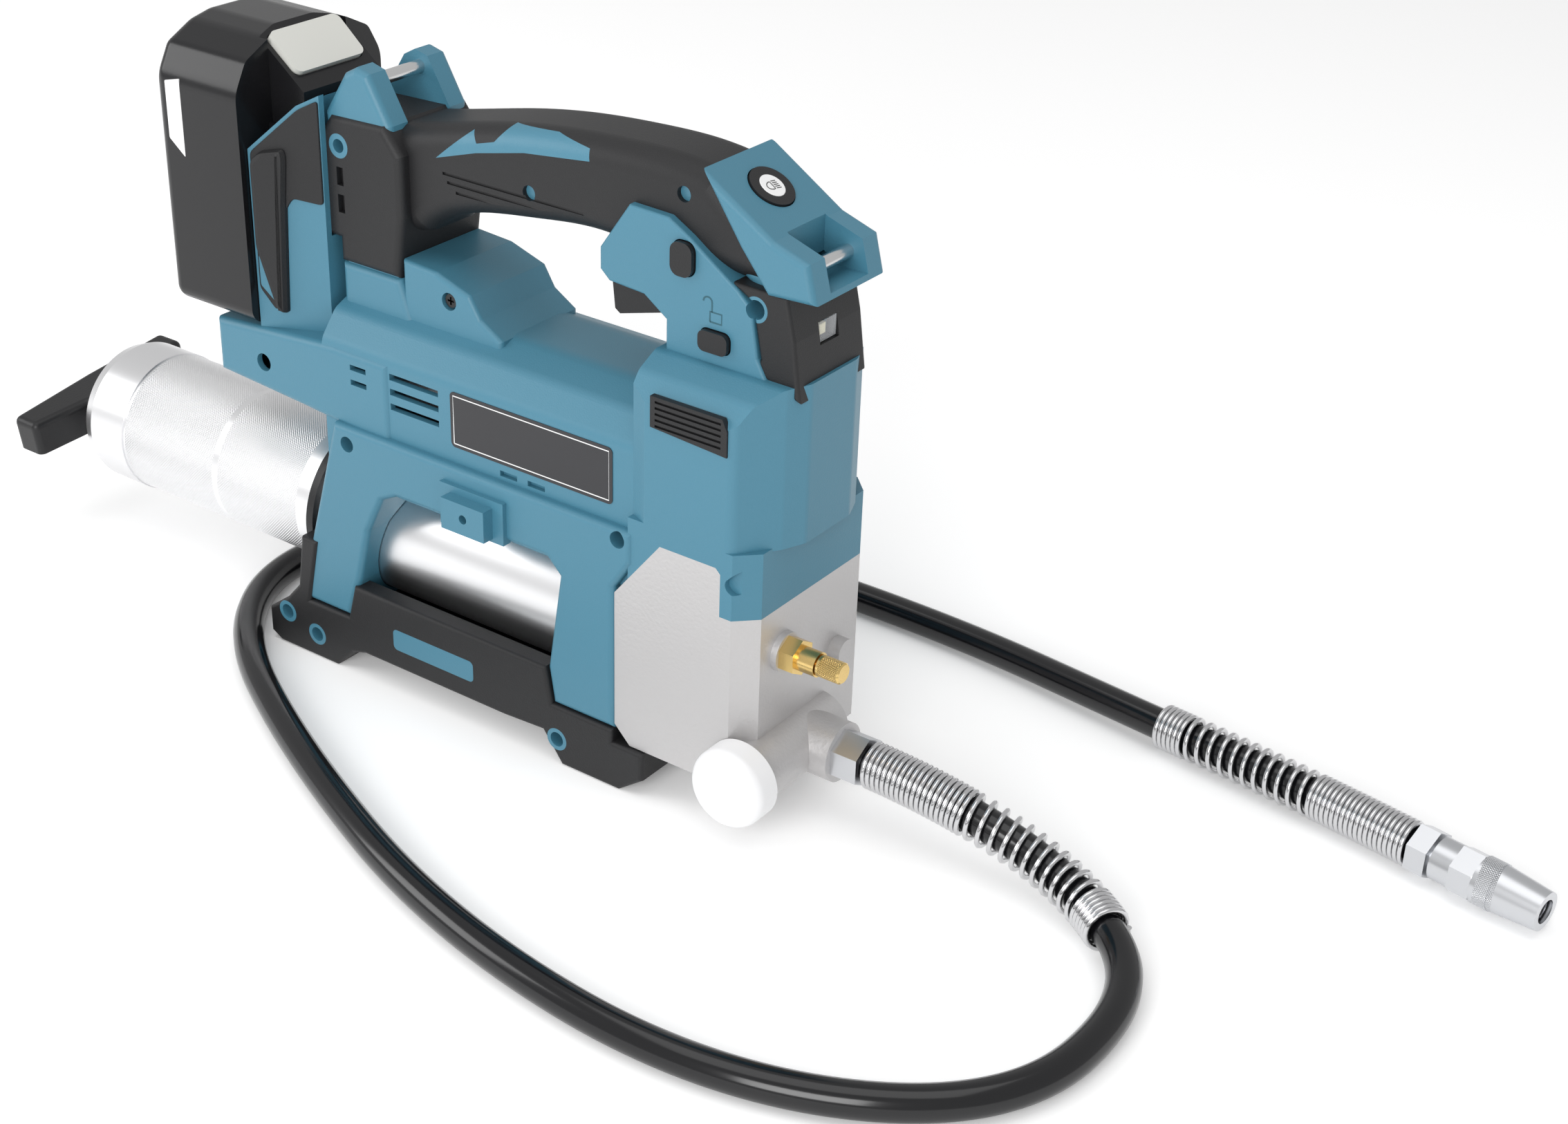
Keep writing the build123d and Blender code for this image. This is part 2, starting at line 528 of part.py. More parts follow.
def battery_cells():
    """Ten cylindrical cells in two layers, lying across the battery."""
    cells = []
    for layer in range(2):
        for row in range(4):
            x = BATTERY_REAR_X + SHELL + 9.6 + 18.7 * layer
            z = BATTERY_FOOT_Z + SHELL + 9.6 + 18.7 * row
            cells.append(rod_y(9.1, -32.5, 32.5, x, z))
    return cells


def battery_mount():
    """Block that the battery slides down on; it narrows towards the housing."""
    rear, front = COVER_X + GAP, MOUNT_FRONT_X
    plan = Polygon((rear, -MOUNT_HALF), (front, -MOUNT_FRONT_HALF), (front, MOUNT_FRONT_HALF), (rear, MOUNT_HALF),
                   align=None)
    body = Pos(0, 0, 130) * upright(plan, 110)
    side = [(rear, cradle_top(rear)), (rear, 205), (-127, 224), (front, 229), (front, cradle_top(front))]
    body = body & side_prism(outline(side), 50, -50)
    body -= block(rear - 1, RAIL_X + GAP, -RAIL_HALF - GAP, RAIL_HALF + GAP, 130, 260)
    body -= block(rear - 1, -130.5 + GAP, -LATCH_HALF - GAP, LATCH_HALF + GAP, LATCH_FOOT_Z - GAP, 300)
    body -= block(REAR_BLOCK[0][0], front + 1, -REAR_HALF, REAR_HALF, REAR_BLOCK[0][1], 240)
    body += block(front - 1, LOWER_POST[0][0], -12, 12, 142, 164)
    for hand in (-1, 1):
        near, far = hand * (RAIL_HALF - 4 + GAP), hand * (RAIL_HALF + 2)
        body += block(COVER_X + 4 + GAP, COVER_X + 9 - GAP, min(near, far), max(near, far), 140, LATCH_FOOT_Z - 6)
    return body


def cradle_top(x):
    """Height of the cradle's top edge under the battery mount."""
    return 133 + 5 * (x + 170) / 62


def mount_terminals():
    """Two contact blades and a signal blade that enter the battery slots."""
    return [block(RAIL_X - 7, RAIL_X + GAP, y - 0.5, y + 0.5, BATTERY_FOOT_Z + 6, BATTERY_FOOT_Z + 24)
            for y in (-9, 0, 9)]


# ---------------------------------------------------------------- switches and lamp
TRIGGER_PIVOT = (33.0, 190.0)
LAMP_PLACE = Pos(63.5, 0, 230.3) * Rot(0, 31.8, 0)


def trigger():
    """Trigger blade with its pivot bosses."""
    face = outline([(3.2, 185.6), (4.4, 174.5), (6.6, 173), (27.5, 178.9), (36, 182), (38, 186), (38, 192),
                    (32, 197), (16, 197), (13, 188)])
    blade = side_prism(face, 8, -8)
    return blade + rod_y(TRIGGER_PIN_R, -POST_HALF + 1.2, POST_HALF - 1.2, *TRIGGER_PIVOT)


def trigger_switch():
    return block(*SWITCH)


def lock_on_button():
    cap = Pos(44, -POST_HALF + 1.5, 207) * Box(9, 7, 12)
    return fillet(cap.edges().filter_by(Axis.Y), 3.5)


def lock_on_room():
    room = Pos(44, -POST_HALF + 3, 207) * Box(9 + 2 * GAP, 14, 12 + 2 * GAP)
    return fillet(room.edges().filter_by(Axis.Y), 3.5 + GAP)


def lock_off_button():
    """Cross bar pushed from one side to the other to lock the trigger."""
    bar = Pos(57.5, 0, 180.8) * Box(12, 2 * POST_HALF + 4, 7.5)
    bar = fillet(bar.edges().filter_by(Axis.Y), 2.5)
    return bar


def lock_off_room():
    room = Pos(57.5, 0, 180.8) * Box(12 + 2 * GAP, 2 * POST_HALF + 6, 7.5 + 2 * GAP)
    return fillet(room.edges().filter_by(Axis.Y), 2.5 + GAP)


def lamp_button(extra=0.0):
    return LAMP_PLACE * Pos(0, 0, -1.5 - extra) * Cylinder(8.5 + extra, 5 + 2 * extra)


def lamp_lens():
    return block(79.5, 88.0, -LENS_HALF + 0.3, LENS_HALF - 0.3, LENS_Z - 3.7, LENS_Z + 3.7)


def lamp_board():
    return block(*LAMP_BOARD)


def controller():
    return block(*CONTROLLER)


# ---------------------------------------------------------------- barrel and follower
CAP_REAR_X = BARREL_SEAM_X - CAP_LENGTH
CAP_R = BARREL_R + CAP_LIP
TUBE_BORE = BARREL_R - BARREL_WALL


def barrel_tube():
    return rod_x(BARREL_R, BARREL_SEAM_X, BARREL_NOSE_X, 0, BARREL_Z) - rod_x(
        TUBE_BORE, BARREL_SEAM_X - 1, BARREL_NOSE_X + 1, 0, BARREL_Z)


def barrel_cap():
    """Domed aluminium cap with a hole for the follower rod."""
    x0 = CAP_REAR_X
    profile = [(BARREL_SEAM_X, 0), (BARREL_SEAM_X, CAP_R), (x0 + 9, CAP_R), (x0 + 4, CAP_R - 1.8),
               (x0 + 1.2, CAP_R - 5), (x0, CAP_R - 9), (x0, 0)]
    cap = turned(profile, 0, BARREL_Z)
    cap -= rod_x(TUBE_BORE - 2, x0 + 5, BARREL_SEAM_X + 1, 0, BARREL_Z)
    return cap - rod_x(ROD_R + FIT, x0 - 1, x0 + 9, 0, BARREL_Z)


def barrel_ring():
    """Black ring where the barrel enters the rear leg of the housing."""
    ring = rod_x(BARREL_R + 4, -131, -127.5, 0, BARREL_Z)
    return ring - rod_x(BORE_R - 0.2, -140, -120, 0, BARREL_Z)


PISTON_X = -20.0


def follower_piston():
    profile = [(PISTON_X, 0), (PISTON_X, 24), (PISTON_X - 2, TUBE_BORE - 0.3), (PISTON_X - 10, TUBE_BORE - 0.3),
               (PISTON_X - 10, 24), (PISTON_X - 4, 22), (PISTON_X - 4, 0)]
    return turned(profile, 0, BARREL_Z)


def follower_rod():
    return rod_x(ROD_R, CAP_REAR_X - 12, PISTON_X - 4, 0, BARREL_Z)


def t_handle():
    """Black T-handle: a hub on the rod with two tapered arms, turned a little about the rod."""
    hub_x = CAP_REAR_X - 2.0
    arm = Plane.XY * Polygon((hub_x, -9), (hub_x - 6, -16), (hub_x - 10, -42), (hub_x - 24, -42), (hub_x - 25, 0),
                             (hub_x - 24, 42), (hub_x - 10, 42), (hub_x - 6, 16), (hub_x, 9), align=None)
    body = upright(arm, 15)
    body = Pos(0, 0, -7.5) * fillet(body.edges().filter_by(Axis.Z), 3.0)
    body = fillet(body.edges().filter_by(lambda edge: edge.length > 8).sort_by(Axis.Z)[-8:], 3.0)
    body = Pos(0, 0, BARREL_Z) * Rot(8, 0, 0) * body
    return body - rod_x(ROD_R, CAP_REAR_X - 12, hub_x + 5, 0, BARREL_Z)


def coil_spring(radius, wire, x0, x1, turns, y=0.0, z=0.0):
    """Compression spring about an axis along x."""
    path = Helix(pitch=(x1 - x0) / turns, height=x1 - x0, radius=radius)
    section = Plane(origin=path @ 0, z_dir=path % 0) * Circle(wire / 2)
    return Pos(x0, y, z) * Rot(0, 90, 0) * sweep(section, path=path, is_frenet=True)


def follower_spring():
    return coil_spring(21, 2.0, CAP_REAR_X + 7, PISTON_X - 6, 22, 0, BARREL_Z)


# ---------------------------------------------------------------- motor and gearing
MOTOR_FRONT_X = MOTOR_REAR_X + MOTOR_LENGTH
FAN_X = MOTOR_FRONT_X + 3
GEAR_X = -8.0
CARRIER_X = GEAR_X + GEAR_WIDTH + 1
BEARING_R = 8.0
BEARING_WIDTH = 6.0
CRANK_X = 44.0
RING_TEETH = SUN_TEETH + 2 * PLANET_TEETH
ORBIT_R = GEAR_MODULE * (SUN_TEETH + PLANET_TEETH) / 2


def motor_can():
    can = rod_x(MOTOR_R, MOTOR_REAR_X, MOTOR_FRONT_X, 0, DRIVE_Z)
    return can - rod_x(MOTOR_R - 5, MOTOR_REAR_X + 3, MOTOR_FRONT_X + 1, 0, DRIVE_Z) - rod_x(
        SHAFT_R + 1, MOTOR_REAR_X - 1, MOTOR_REAR_X + 4, 0, DRIVE_Z)


def gear_face(teeth, module, thin=0.36, grow=0.0):
    """Plain toothed outline: every tooth is a trapezium."""
    pitch_r = teeth * module / 2
    root, tip = pitch_r - 0.9 * module - grow, pitch_r + 0.6 * module + grow
    points = []
    for tooth in range(teeth):
        middle = 2 * pi * tooth / teeth
        half = pi * thin / teeth
        for radius, turn in ((root, -1.5 * half), (tip, -0.8 * half), (tip, 0.8 * half), (root, 1.5 * half)):
            points.append((radius * cos(middle + turn), radius * sin(middle + turn)))
    return Polygon(*points, align=None)


def gear_x(face, x0, width):
    return Pos(x0, 0, DRIVE_Z) * Rot(0, 90, 0) * upright(face, width)


def armature():
    """Rotor core, shaft and the sun pinion cut on its end."""
    core = rod_x(MOTOR_R - 6.5, MOTOR_REAR_X + 14, MOTOR_FRONT_X - 8, 0, DRIVE_Z)
    shaft = rod_x(SHAFT_R, MOTOR_REAR_X - 7, GEAR_X, 0, DRIVE_Z)
    return core + shaft + gear_x(gear_face(SUN_TEETH, GEAR_MODULE), GEAR_X, GEAR_WIDTH)


def motor_fan():
    """Fan disc with straight blades."""
    disc = rod_x(MOTOR_R - 2, FAN_X, FAN_X + 1.5, 0, DRIVE_Z) + rod_x(6, FAN_X, FAN_X + 8, 0, DRIVE_Z)
    for blade in range(12):
        disc += Pos(0, 0, DRIVE_Z) * Rot(30 * blade, 0, 0) * block(FAN_X + 1, FAN_X + 8, -0.6, 0.6, 5, MOTOR_R - 3)
    return disc - rod_x(SHAFT_R, FAN_X - 1, FAN_X + 9, 0, DRIVE_Z)


def ball_bearing(x0, bore):
    return rod_x(BEARING_R, x0, x0 + BEARING_WIDTH, 0, DRIVE_Z) - rod_x(
        bore + FIT, x0 - 1, x0 + BEARING_WIDTH + 1, 0, DRIVE_Z)


REAR_BEARING_X = MOTOR_REAR_X - 6.5
MID_BEARING_X = FAN_X + 10
FRONT_BEARING_X = CRANK_X - 11


def gear_case():
    """Cast case round the gears; it carries the middle and front bearings."""
    case = rod_x(GEAR_CASE_R, GEAR_X - 5, CRANK_X - 5, 0, DRIVE_Z)
    case += rod_x(BEARING_R + 3, MID_BEARING_X, GEAR_X - 4, 0, DRIVE_Z)
    ring_room = RING_TEETH * GEAR_MODULE / 2 + 3.5
    case -= rod_x(ring_room, GEAR_X - 2, CARRIER_X + 6, 0, DRIVE_Z)
    case -= rod_x(BEARING_R, MID_BEARING_X - 1, MID_BEARING_X + BEARING_WIDTH, 0, DRIVE_Z)
    case -= rod_x(BEARING_R, FRONT_BEARING_X, CRANK_X, 0, DRIVE_Z)
    return case - rod_x(SHAFT_R + 2.5, -60, CRANK_X, 0, DRIVE_Z)


def ring_gear():
    outer = rod_x(RING_TEETH * GEAR_MODULE / 2 + 3.5, GEAR_X, GEAR_X + GEAR_WIDTH, 0, DRIVE_Z)
    bore_r = RING_TEETH * GEAR_MODULE / 2 + 0.9 * GEAR_MODULE
    ring = outer - rod_x(bore_r, GEAR_X - 1, GEAR_X + GEAR_WIDTH + 1, 0, DRIVE_Z)
    tooth_tip = RING_TEETH * GEAR_MODULE / 2 - 0.6 * GEAR_MODULE
    half = 0.36 * pi / RING_TEETH * bore_r
    face = Polygon((tooth_tip, -0.8 * half), (tooth_tip, 0.8 * half), (bore_r + 0.3, 1.5 * half),
                   (bore_r + 0.3, -1.5 * half), align=None)
    teeth = [gear_x(Rot(0, 0, 360 * tooth / RING_TEETH) * face, GEAR_X, GEAR_WIDTH) for tooth in range(RING_TEETH)]
    return ring + teeth


def planet_gear(number):
    """Planet wheel; it meets the sun with a gap and the ring with a gap."""
    turn = 120.0 * number
    face = Rot(0, 0, 180.0 / PLANET_TEETH) * gear_face(PLANET_TEETH, GEAR_MODULE)
    face -= Circle(2.0 + FIT)
    return gear_x(Rot(0, 0, turn) * Pos(ORBIT_R, 0) * face, GEAR_X, GEAR_WIDTH)


def crank_shaft():
    """Planet carrier, output shaft and crank disc in one piece, with planet pins and crank pin."""
    x0 = CARRIER_X
    shaft = rod_x(ORBIT_R + 4, x0, x0 + 4, 0, DRIVE_Z) + rod_x(4.5, x0 + 4, CRANK_X + 1, 0, DRIVE_Z)
    shaft += rod_x(13, CRANK_X, CRANK_X + 5, 0, DRIVE_Z)
    shaft += rod_x(2.8, CRANK_X + 5, CRANK_X + 8, 0, DRIVE_Z + CRANK_THROW)
    for number in range(3):
        pin = Rot(0, 0, 120.0 * number) * Pos(ORBIT_R, 0) * Circle(2.0)
        shaft += gear_x(pin, GEAR_X + 1, GEAR_WIDTH + 1)
    return shaft


YOKE_X = CRANK_X + 8.5


def plunger_yoke():
    """Slotted yoke that the crank pin drives up and down."""
    mid = DRIVE_Z + CRANK_THROW
    plate = block(YOKE_X, YOKE_X + 9, -14, 14, mid - 7, mid + 7)
    return plate - block(YOKE_X - 1, YOKE_X + 10, -11, 11, mid - 3, mid + 3)


def plunger():
    return rod_z(PLUNGER_R, 72, DRIVE_Z + CRANK_THROW - 7, PLUNGER_X)


# ---------------------------------------------------------------- pump head, outlet and hose end
def pump_head():
    """Cast pump head: flat sides, bevelled front corners, bores for barrel, plunger and outlet."""
    plan = Polygon((HEAD_REAR_X, -BLOCK_HALF), (HEAD_FRONT_X - 7.5, -BLOCK_HALF), (HEAD_FRONT_X, -BLOCK_HALF + 7.5),
                   (HEAD_FRONT_X, BLOCK_HALF - 7.5), (HEAD_FRONT_X - 7.5, BLOCK_HALF), (HEAD_REAR_X, BLOCK_HALF),
                   align=None)
    head = side_prism(outline(HEAD_SIDE), BLOCK_HALF, -BLOCK_HALF) & (Pos(0, 0, 10) * upright(plan, 110))
    head -= rod_x(BARREL_R, HEAD_REAR_X - 1, BARREL_NOSE_X, 0, BARREL_Z)
    head -= rod_x(11, BARREL_NOSE_X - 1, BARREL_NOSE_X + 8, 0, BARREL_Z)
    head -= rod_z(PLUNGER_R + FIT, 44, 120, PLUNGER_X)
    head -= rod_x(3, BARREL_NOSE_X + 6, PLUNGER_X, 0, BARREL_Z)
    head -= rod_z(6, HEAD_FOOT_Z - 1, 34, PLUNGER_X) + rod_z(3, 30, 46, PLUNGER_X)
    head += rod_x(7.5, HEAD_FRONT_X - 1, HEAD_FRONT_X + 2.5, BLEEDER_Y, BLEEDER_Z)
    head += rod_x(5, HEAD_FRONT_X - 1, HEAD_FRONT_X + 5, -BLEEDER_Y, BLEEDER_Z - 15)
    head -= rod_x(3.2, HEAD_FRONT_X - 8, HEAD_FRONT_X + 9, BLEEDER_Y, BLEEDER_Z)
    return head - outlet_body()


def outlet_body():
    """Outside of the outlet elbow, a cross tube and a forward tube."""
    cross = rod_y(OUTLET_R, OUTLET_Y - 43, OUTLET_Y + 14, OUTLET_X, OUTLET_Z)
    return cross + rod_x(OUTLET_R - 0.6, OUTLET_X, OUTLET_X + 19, OUTLET_Y, OUTLET_Z)


def outlet_manifold():
    body = outlet_body()
    body -= rod_y(4, OUTLET_Y - 44, OUTLET_Y + 3, OUTLET_X, OUTLET_Z)
    return body - rod_x(3.5, OUTLET_X, OUTLET_X + 20, OUTLET_Y, OUTLET_Z)


def port_cap():
    """White plastic cap pushed over the spare side port."""
    y0 = OUTLET_Y - 48
    cap = rod_y(15.2, y0, -BLOCK_HALF - GAP, OUTLET_X, OUTLET_Z)
    cap = fillet(cap.edges().sort_by(Axis.Y)[:1], 5)
    return cap - rod_y(OUTLET_R, OUTLET_Y - 43, OUTLET_Y, OUTLET_X, OUTLET_Z)


def bleeder_body():
    x0 = HEAD_FRONT_X + 2.5
    body = hex_x(12, x0, x0 + 6, BLEEDER_Y, BLEEDER_Z) + rod_x(4.6, x0 + 6, x0 + 13.5, BLEEDER_Y, BLEEDER_Z)
    body += rod_x(3.2, x0 - 9, x0, BLEEDER_Y, BLEEDER_Z)
    return body - rod_x(2.2 + FIT, x0 + 4, x0 + 14, BLEEDER_Y, BLEEDER_Z)


def bleeder_knob():
    x0 = HEAD_FRONT_X + 16
    knob = rod_x(4.0, x0 + 0.5, x0 + 10, BLEEDER_Y, BLEEDER_Z)
    knob = chamfer(knob.edges().sort_by(Axis.X)[-1:], 0.6)
    return knob + rod_x(2.2, x0 - 8, x0 + 1, BLEEDER_Y, BLEEDER_Z)


def check_plug():
    return hex_x(10, 0, 5).rotate(Axis.Y, 90).move(Location((PLUNGER_X, 0, HEAD_FOOT_Z + 5.5)))


def check_ball():
    return Pos(PLUNGER_X, 0, 31.5) * Sphere(3.6)


# ---------------------------------------------------------------- hose and coupler
HOSE_START_X = OUTLET_X + 22.0
FLOOR_Z = HOSE_R + 0.3
ROUTE = [(HOSE_START_X, OUTLET_Y, OUTLET_Z), (146, OUTLET_Y, OUTLET_Z), (202, 0, 11), (246, -34, 7.5),
         (240, -110, FLOOR_Z), (158, -155, FLOOR_Z), (40, -146, FLOOR_Z), (-72, -101, FLOOR_Z),
         (-159, -51, FLOOR_Z), (-185, 12, FLOOR_Z), (-141, 88, FLOOR_Z), (-40, 124, FLOOR_Z),
         (70, 128, FLOOR_Z), (170, 112, 9.7), (243, 103.5, 10.2), (286, 95.4, 10.2)]
COUPLER_TURN = degrees(atan2(ROUTE[-1][1] - ROUTE[-2][1], ROUTE[-1][0] - ROUTE[-2][0]))
GUARD_BORE = HOSE_R + 0.35
GUARD_LENGTH = 112.0


def between(a, b):
    return [q - p for p, q in zip(a, b)]


def length_of(v):
    return sum(part * part for part in v) ** 0.5


def along(a, b, distance):
    """Point at a distance from a on the way to b."""
    run = between(a, b)
    return tuple(p + part * distance / length_of(run) for p, part in zip(a, run))


def route_corner(before, corner, after):
    """Tangent arc at one corner of the route: its two ends, its middle and its radius."""
    into, out = between(before, corner), between(corner, after)
    cosine = sum(p * q for p, q in zip(into, out)) / (length_of(into) * length_of(out))
    half_turn = acos(cosine) / 2
    setback = 0.45 * min(length_of(into), length_of(out))
    radius = setback / tan(half_turn)
    start, end = along(corner, before, setback), along(corner, after, setback)
    chord_middle = tuple((p + q) / 2 for p, q in zip(start, end))
    sagitta = radius / cos(half_turn) - radius
    return start, along(corner, chord_middle, sagitta), end, radius


def hose_path():
    """Straight runs joined by tangent arcs, and the arc radii."""
    pieces, here, radii = [], ROUTE[0], []
    for before, corner, after in zip(ROUTE, ROUTE[1:], ROUTE[2:]):
        start, middle, end, radius = route_corner(before, corner, after)
        pieces += [Line(here, start), ThreePointArc(start, middle, end)]
        here = end
        radii.append(radius)
    return Wire(pieces + [Line(here, ROUTE[-1])]), radii


def tube_along(path, outer, inner=0.0):
    start = Plane(origin=path @ 0, z_dir=path % 0)
    section = start * Circle(outer)
    if inner:
        section -= start * Circle(inner)
    return sweep(section, path=path)


def guard(first, last, bore):
    """Spring guard as a close sleeve that follows the hose between two distances along it."""
    path, _ = hose_path()
    part = path.trim(first / path.length, last / path.length)
    return tube_along(part, GUARD_R, bore)


def coupler_place(distance):
    return Pos(*ROUTE[-1]) * Rot(0, 0, COUPLER_TURN) * Pos(distance, 0, 0)


def ring_along(radius, x0, x1, bore=0.0):
    ring = rod_x(radius, x0, x1)
    return ring - rod_x(bore, x0 - 1, x1 + 1) if bore else ring


def coupler_parts():
    """Hex adapter, body with its own hex, knurled conical sleeve and the jaws inside it."""
    adapter = hex_x(17, 0, 8) + ring_along(5.5, 8, 9.2)
    body = ring_along(8.2, 9.2, 17.2) + hex_x(16.5, 17.2, 26) + ring_along(6.5, 26, 33)
    sleeve = turned([(26, 6.5 + FIT), (26, 9.1), (33, 9.1), (33, 8.9), (51, 7.4), (51, 4.6), (45, 6.2),
                     (33, 6.5 + FIT)])
    jaws = ring_along(5.2, 33, 44, 3.3) + ring_along(4.4, 44, 49, 3.3)
    return {"coupler_adapter": adapter - rod_x(2, -1, 10), "coupler_body": body - rod_x(2, 9, 34),
            "coupler_sleeve": sleeve, "coupler_jaws": jaws}


def hose_nut():
    """Hex nut that joins the hose to the outlet."""
    nut = hex_x(17, OUTLET_X + 19, HOSE_START_X + 8, OUTLET_Y, OUTLET_Z)
    return nut - rod_x(GUARD_BORE, HOSE_START_X, HOSE_START_X + 9, OUTLET_Y, OUTLET_Z) - rod_x(
        4, OUTLET_X + 18, HOSE_START_X + 1, OUTLET_Y, OUTLET_Z)


# ---------------------------------------------------------------- assembly
nodes = {}


def both_sides(name, solid):
    nodes[name + "_left"] = solid
    nodes[name + "_right"] = mirrored(solid)


nodes["housing_left"] = housing_half()
nodes["housing_right"] = mirrored(housing_half(left=False))
both_sides("grip", grip_half())
both_sides("foot_rail", rail_half())
both_sides("side_pad", side_pad())
nodes["name_label"] = name_label()
nodes["battery_mount"] = battery_mount()
nodes["mount_terminals"] = Compound(mount_terminals())
nodes["battery_lower_case"] = battery_lower_case()
nodes["battery_upper_case"] = battery_upper_case()
nodes["battery_release_button"] = release_pad()
nodes["battery_cells"] = Compound(battery_cells())
nodes["trigger"] = trigger()
nodes["trigger_switch"] = trigger_switch()
nodes["lock_on_button"] = lock_on_button()
nodes["lock_off_button"] = lock_off_button()
nodes["lamp_button"] = lamp_button()
nodes["lamp_lens"] = lamp_lens()
nodes["lamp_board"] = lamp_board()
nodes["controller"] = controller()
nodes["rear_strap_pin"] = strap_pin(REAR_PIN, EAR_INSIDE + 6)
nodes["front_strap_pin"] = strap_pin(FRONT_PIN, EAR_INSIDE + 4)
nodes["barrel_tube"] = barrel_tube()
nodes["barrel_cap"] = barrel_cap()
nodes["barrel_ring"] = barrel_ring()
nodes["follower_piston"] = follower_piston()
nodes["follower_rod"] = follower_rod()
nodes["follower_spring"] = follower_spring()
nodes["t_handle"] = t_handle()
nodes["motor_can"] = motor_can()
nodes["armature"] = armature()
nodes["motor_fan"] = motor_fan()
nodes["ball_bearings"] = Compound([ball_bearing(REAR_BEARING_X, SHAFT_R), ball_bearing(MID_BEARING_X, SHAFT_R),
                                   ball_bearing(FRONT_BEARING_X, 4.5)])
nodes["gear_case"] = gear_case()
nodes["ring_gear"] = ring_gear()
for number in range(3):
    nodes[f"planet_gear_{number + 1}"] = planet_gear(number)
nodes["crank_shaft"] = crank_shaft()
nodes["plunger_yoke"] = plunger_yoke()
nodes["plunger"] = plunger()
nodes["pump_head"] = pump_head()
nodes["outlet_manifold"] = outlet_manifold()
nodes["port_cap"] = port_cap()
nodes["bleeder_body"] = bleeder_body()
nodes["bleeder_knob"] = bleeder_knob()
nodes["check_plug"] = check_plug()
nodes["check_ball"] = check_ball()

nodes["housing_screws"] = Compound(housing_screws())
nodes["hose_nut"] = hose_nut()
path, radii = hose_path()
nodes["hose"] = tube_along(path, HOSE_R, 3.2)
nodes["guard_spring_head"] = guard(8.4, 8.4 + GUARD_LENGTH, GUARD_BORE)
nodes["guard_spring_coupler"] = guard(path.length - GUARD_LENGTH, path.length - 0.4, GUARD_BORE)
for name, part in coupler_parts().items():
    nodes[name] = coupler_place(0) * part
CORD = ("hose", "guard_spring_head", "guard_spring_coupler", "coupler_adapter", "coupler_body", "coupler_sleeve",
        "coupler_jaws")

print("hose length", round(path.length, 1), "radii", [round(radius, 1) for radius in radii])
section = pi * (HOSE_R ** 2 - 3.2 ** 2)
print("hose volume", round(nodes["hose"].volume), "section times length", round(section * path.length))

box = Compound([shape for name, shape in nodes.items() if name not in CORD]).bounding_box()
MIDDLE = Pos(-(box.min.X + box.max.X) / 2, -(box.min.Y + box.max.Y) / 2, -box.min.Z)
print("box", [round(value, 3) for value in (*box.min, *box.max)])
for name, shape in nodes.items():
    export_step(MIDDLE * shape, f"parts/{name}.step")
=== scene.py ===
from math import cos, radians, sin

import bpy
import numpy as np
from mathutils import Matrix, Vector


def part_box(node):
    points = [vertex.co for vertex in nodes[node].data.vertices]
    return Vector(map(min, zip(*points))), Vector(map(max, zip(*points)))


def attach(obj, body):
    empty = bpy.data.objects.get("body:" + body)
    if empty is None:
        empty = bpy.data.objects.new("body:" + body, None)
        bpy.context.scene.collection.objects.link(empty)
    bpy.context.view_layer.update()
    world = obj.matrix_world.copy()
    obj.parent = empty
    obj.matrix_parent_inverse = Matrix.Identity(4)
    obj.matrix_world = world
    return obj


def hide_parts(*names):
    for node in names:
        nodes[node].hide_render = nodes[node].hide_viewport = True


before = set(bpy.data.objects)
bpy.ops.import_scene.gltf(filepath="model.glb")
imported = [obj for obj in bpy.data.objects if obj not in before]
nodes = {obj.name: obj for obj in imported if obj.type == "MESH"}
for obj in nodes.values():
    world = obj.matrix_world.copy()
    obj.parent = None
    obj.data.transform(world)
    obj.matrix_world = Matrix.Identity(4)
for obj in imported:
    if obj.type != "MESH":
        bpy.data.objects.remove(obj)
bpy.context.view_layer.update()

# ---- Camera: a long lens looking down on the left front quarter of the standing tool.
place, azimuth, elevation, roll = (0.5769, -0.6047, 0.4969), 34.17, 28.78, 2.17
camera = bpy.data.objects.new("camera", bpy.data.cameras.new("camera"))
camera.data.sensor_width, camera.data.lens = 36.0, 54.4
camera.data.clip_start, camera.data.clip_end = 0.01, 20.0
a, e, r = radians(azimuth), radians(elevation), radians(roll)
back = Vector((sin(a) * cos(e), -cos(a) * cos(e), sin(e)))
right = Vector((cos(a), sin(a), 0.0))
up = back.cross(right)
right, up = cos(r) * right + sin(r) * up, cos(r) * up - sin(r) * right
camera.matrix_world = Matrix.Translation(place) @ Matrix((right, up, back)).transposed().to_4x4()
bpy.context.collection.objects.link(camera)
bpy.context.scene.camera = camera
bpy.context.scene.view_settings.view_transform = "Standard"

# ---- Stage: a plain pale floor and soft studio light from an even white world, one broad box
# overhead and two square ones on the left that draw the highlights on round metal.
floor_mesh = bpy.data.meshes.new("floor")
floor_mesh.from_pydata([(-6, -6, 0), (6, -6, 0), (6, 6, 0), (-6, 6, 0)], [], [(0, 1, 2, 3)])
floor = bpy.data.objects.new("floor", floor_mesh)
bpy.context.collection.objects.link(floor)
pale = bpy.data.materials.new("pale_floor")
pale.use_nodes = True
for socket, value in (("Base Color", (1, 1, 1, 1)), ("Roughness", 0.9), ("Specular IOR Level", 0.1),
                      ("Emission Color", (1, 1, 1, 1)), ("Emission Strength", 0.12)):
    pale.node_tree.nodes["Principled BSDF"].inputs[socket].default_value = value
floor_mesh.materials.append(pale)
sky = bpy.data.worlds.new("studio")
sky.use_nodes = True
sky.node_tree.nodes["Background"].inputs["Color"].default_value = (1, 1, 1, 1)
sky.node_tree.nodes["Background"].inputs["Strength"].default_value = 0.62
bpy.context.scene.world = sky


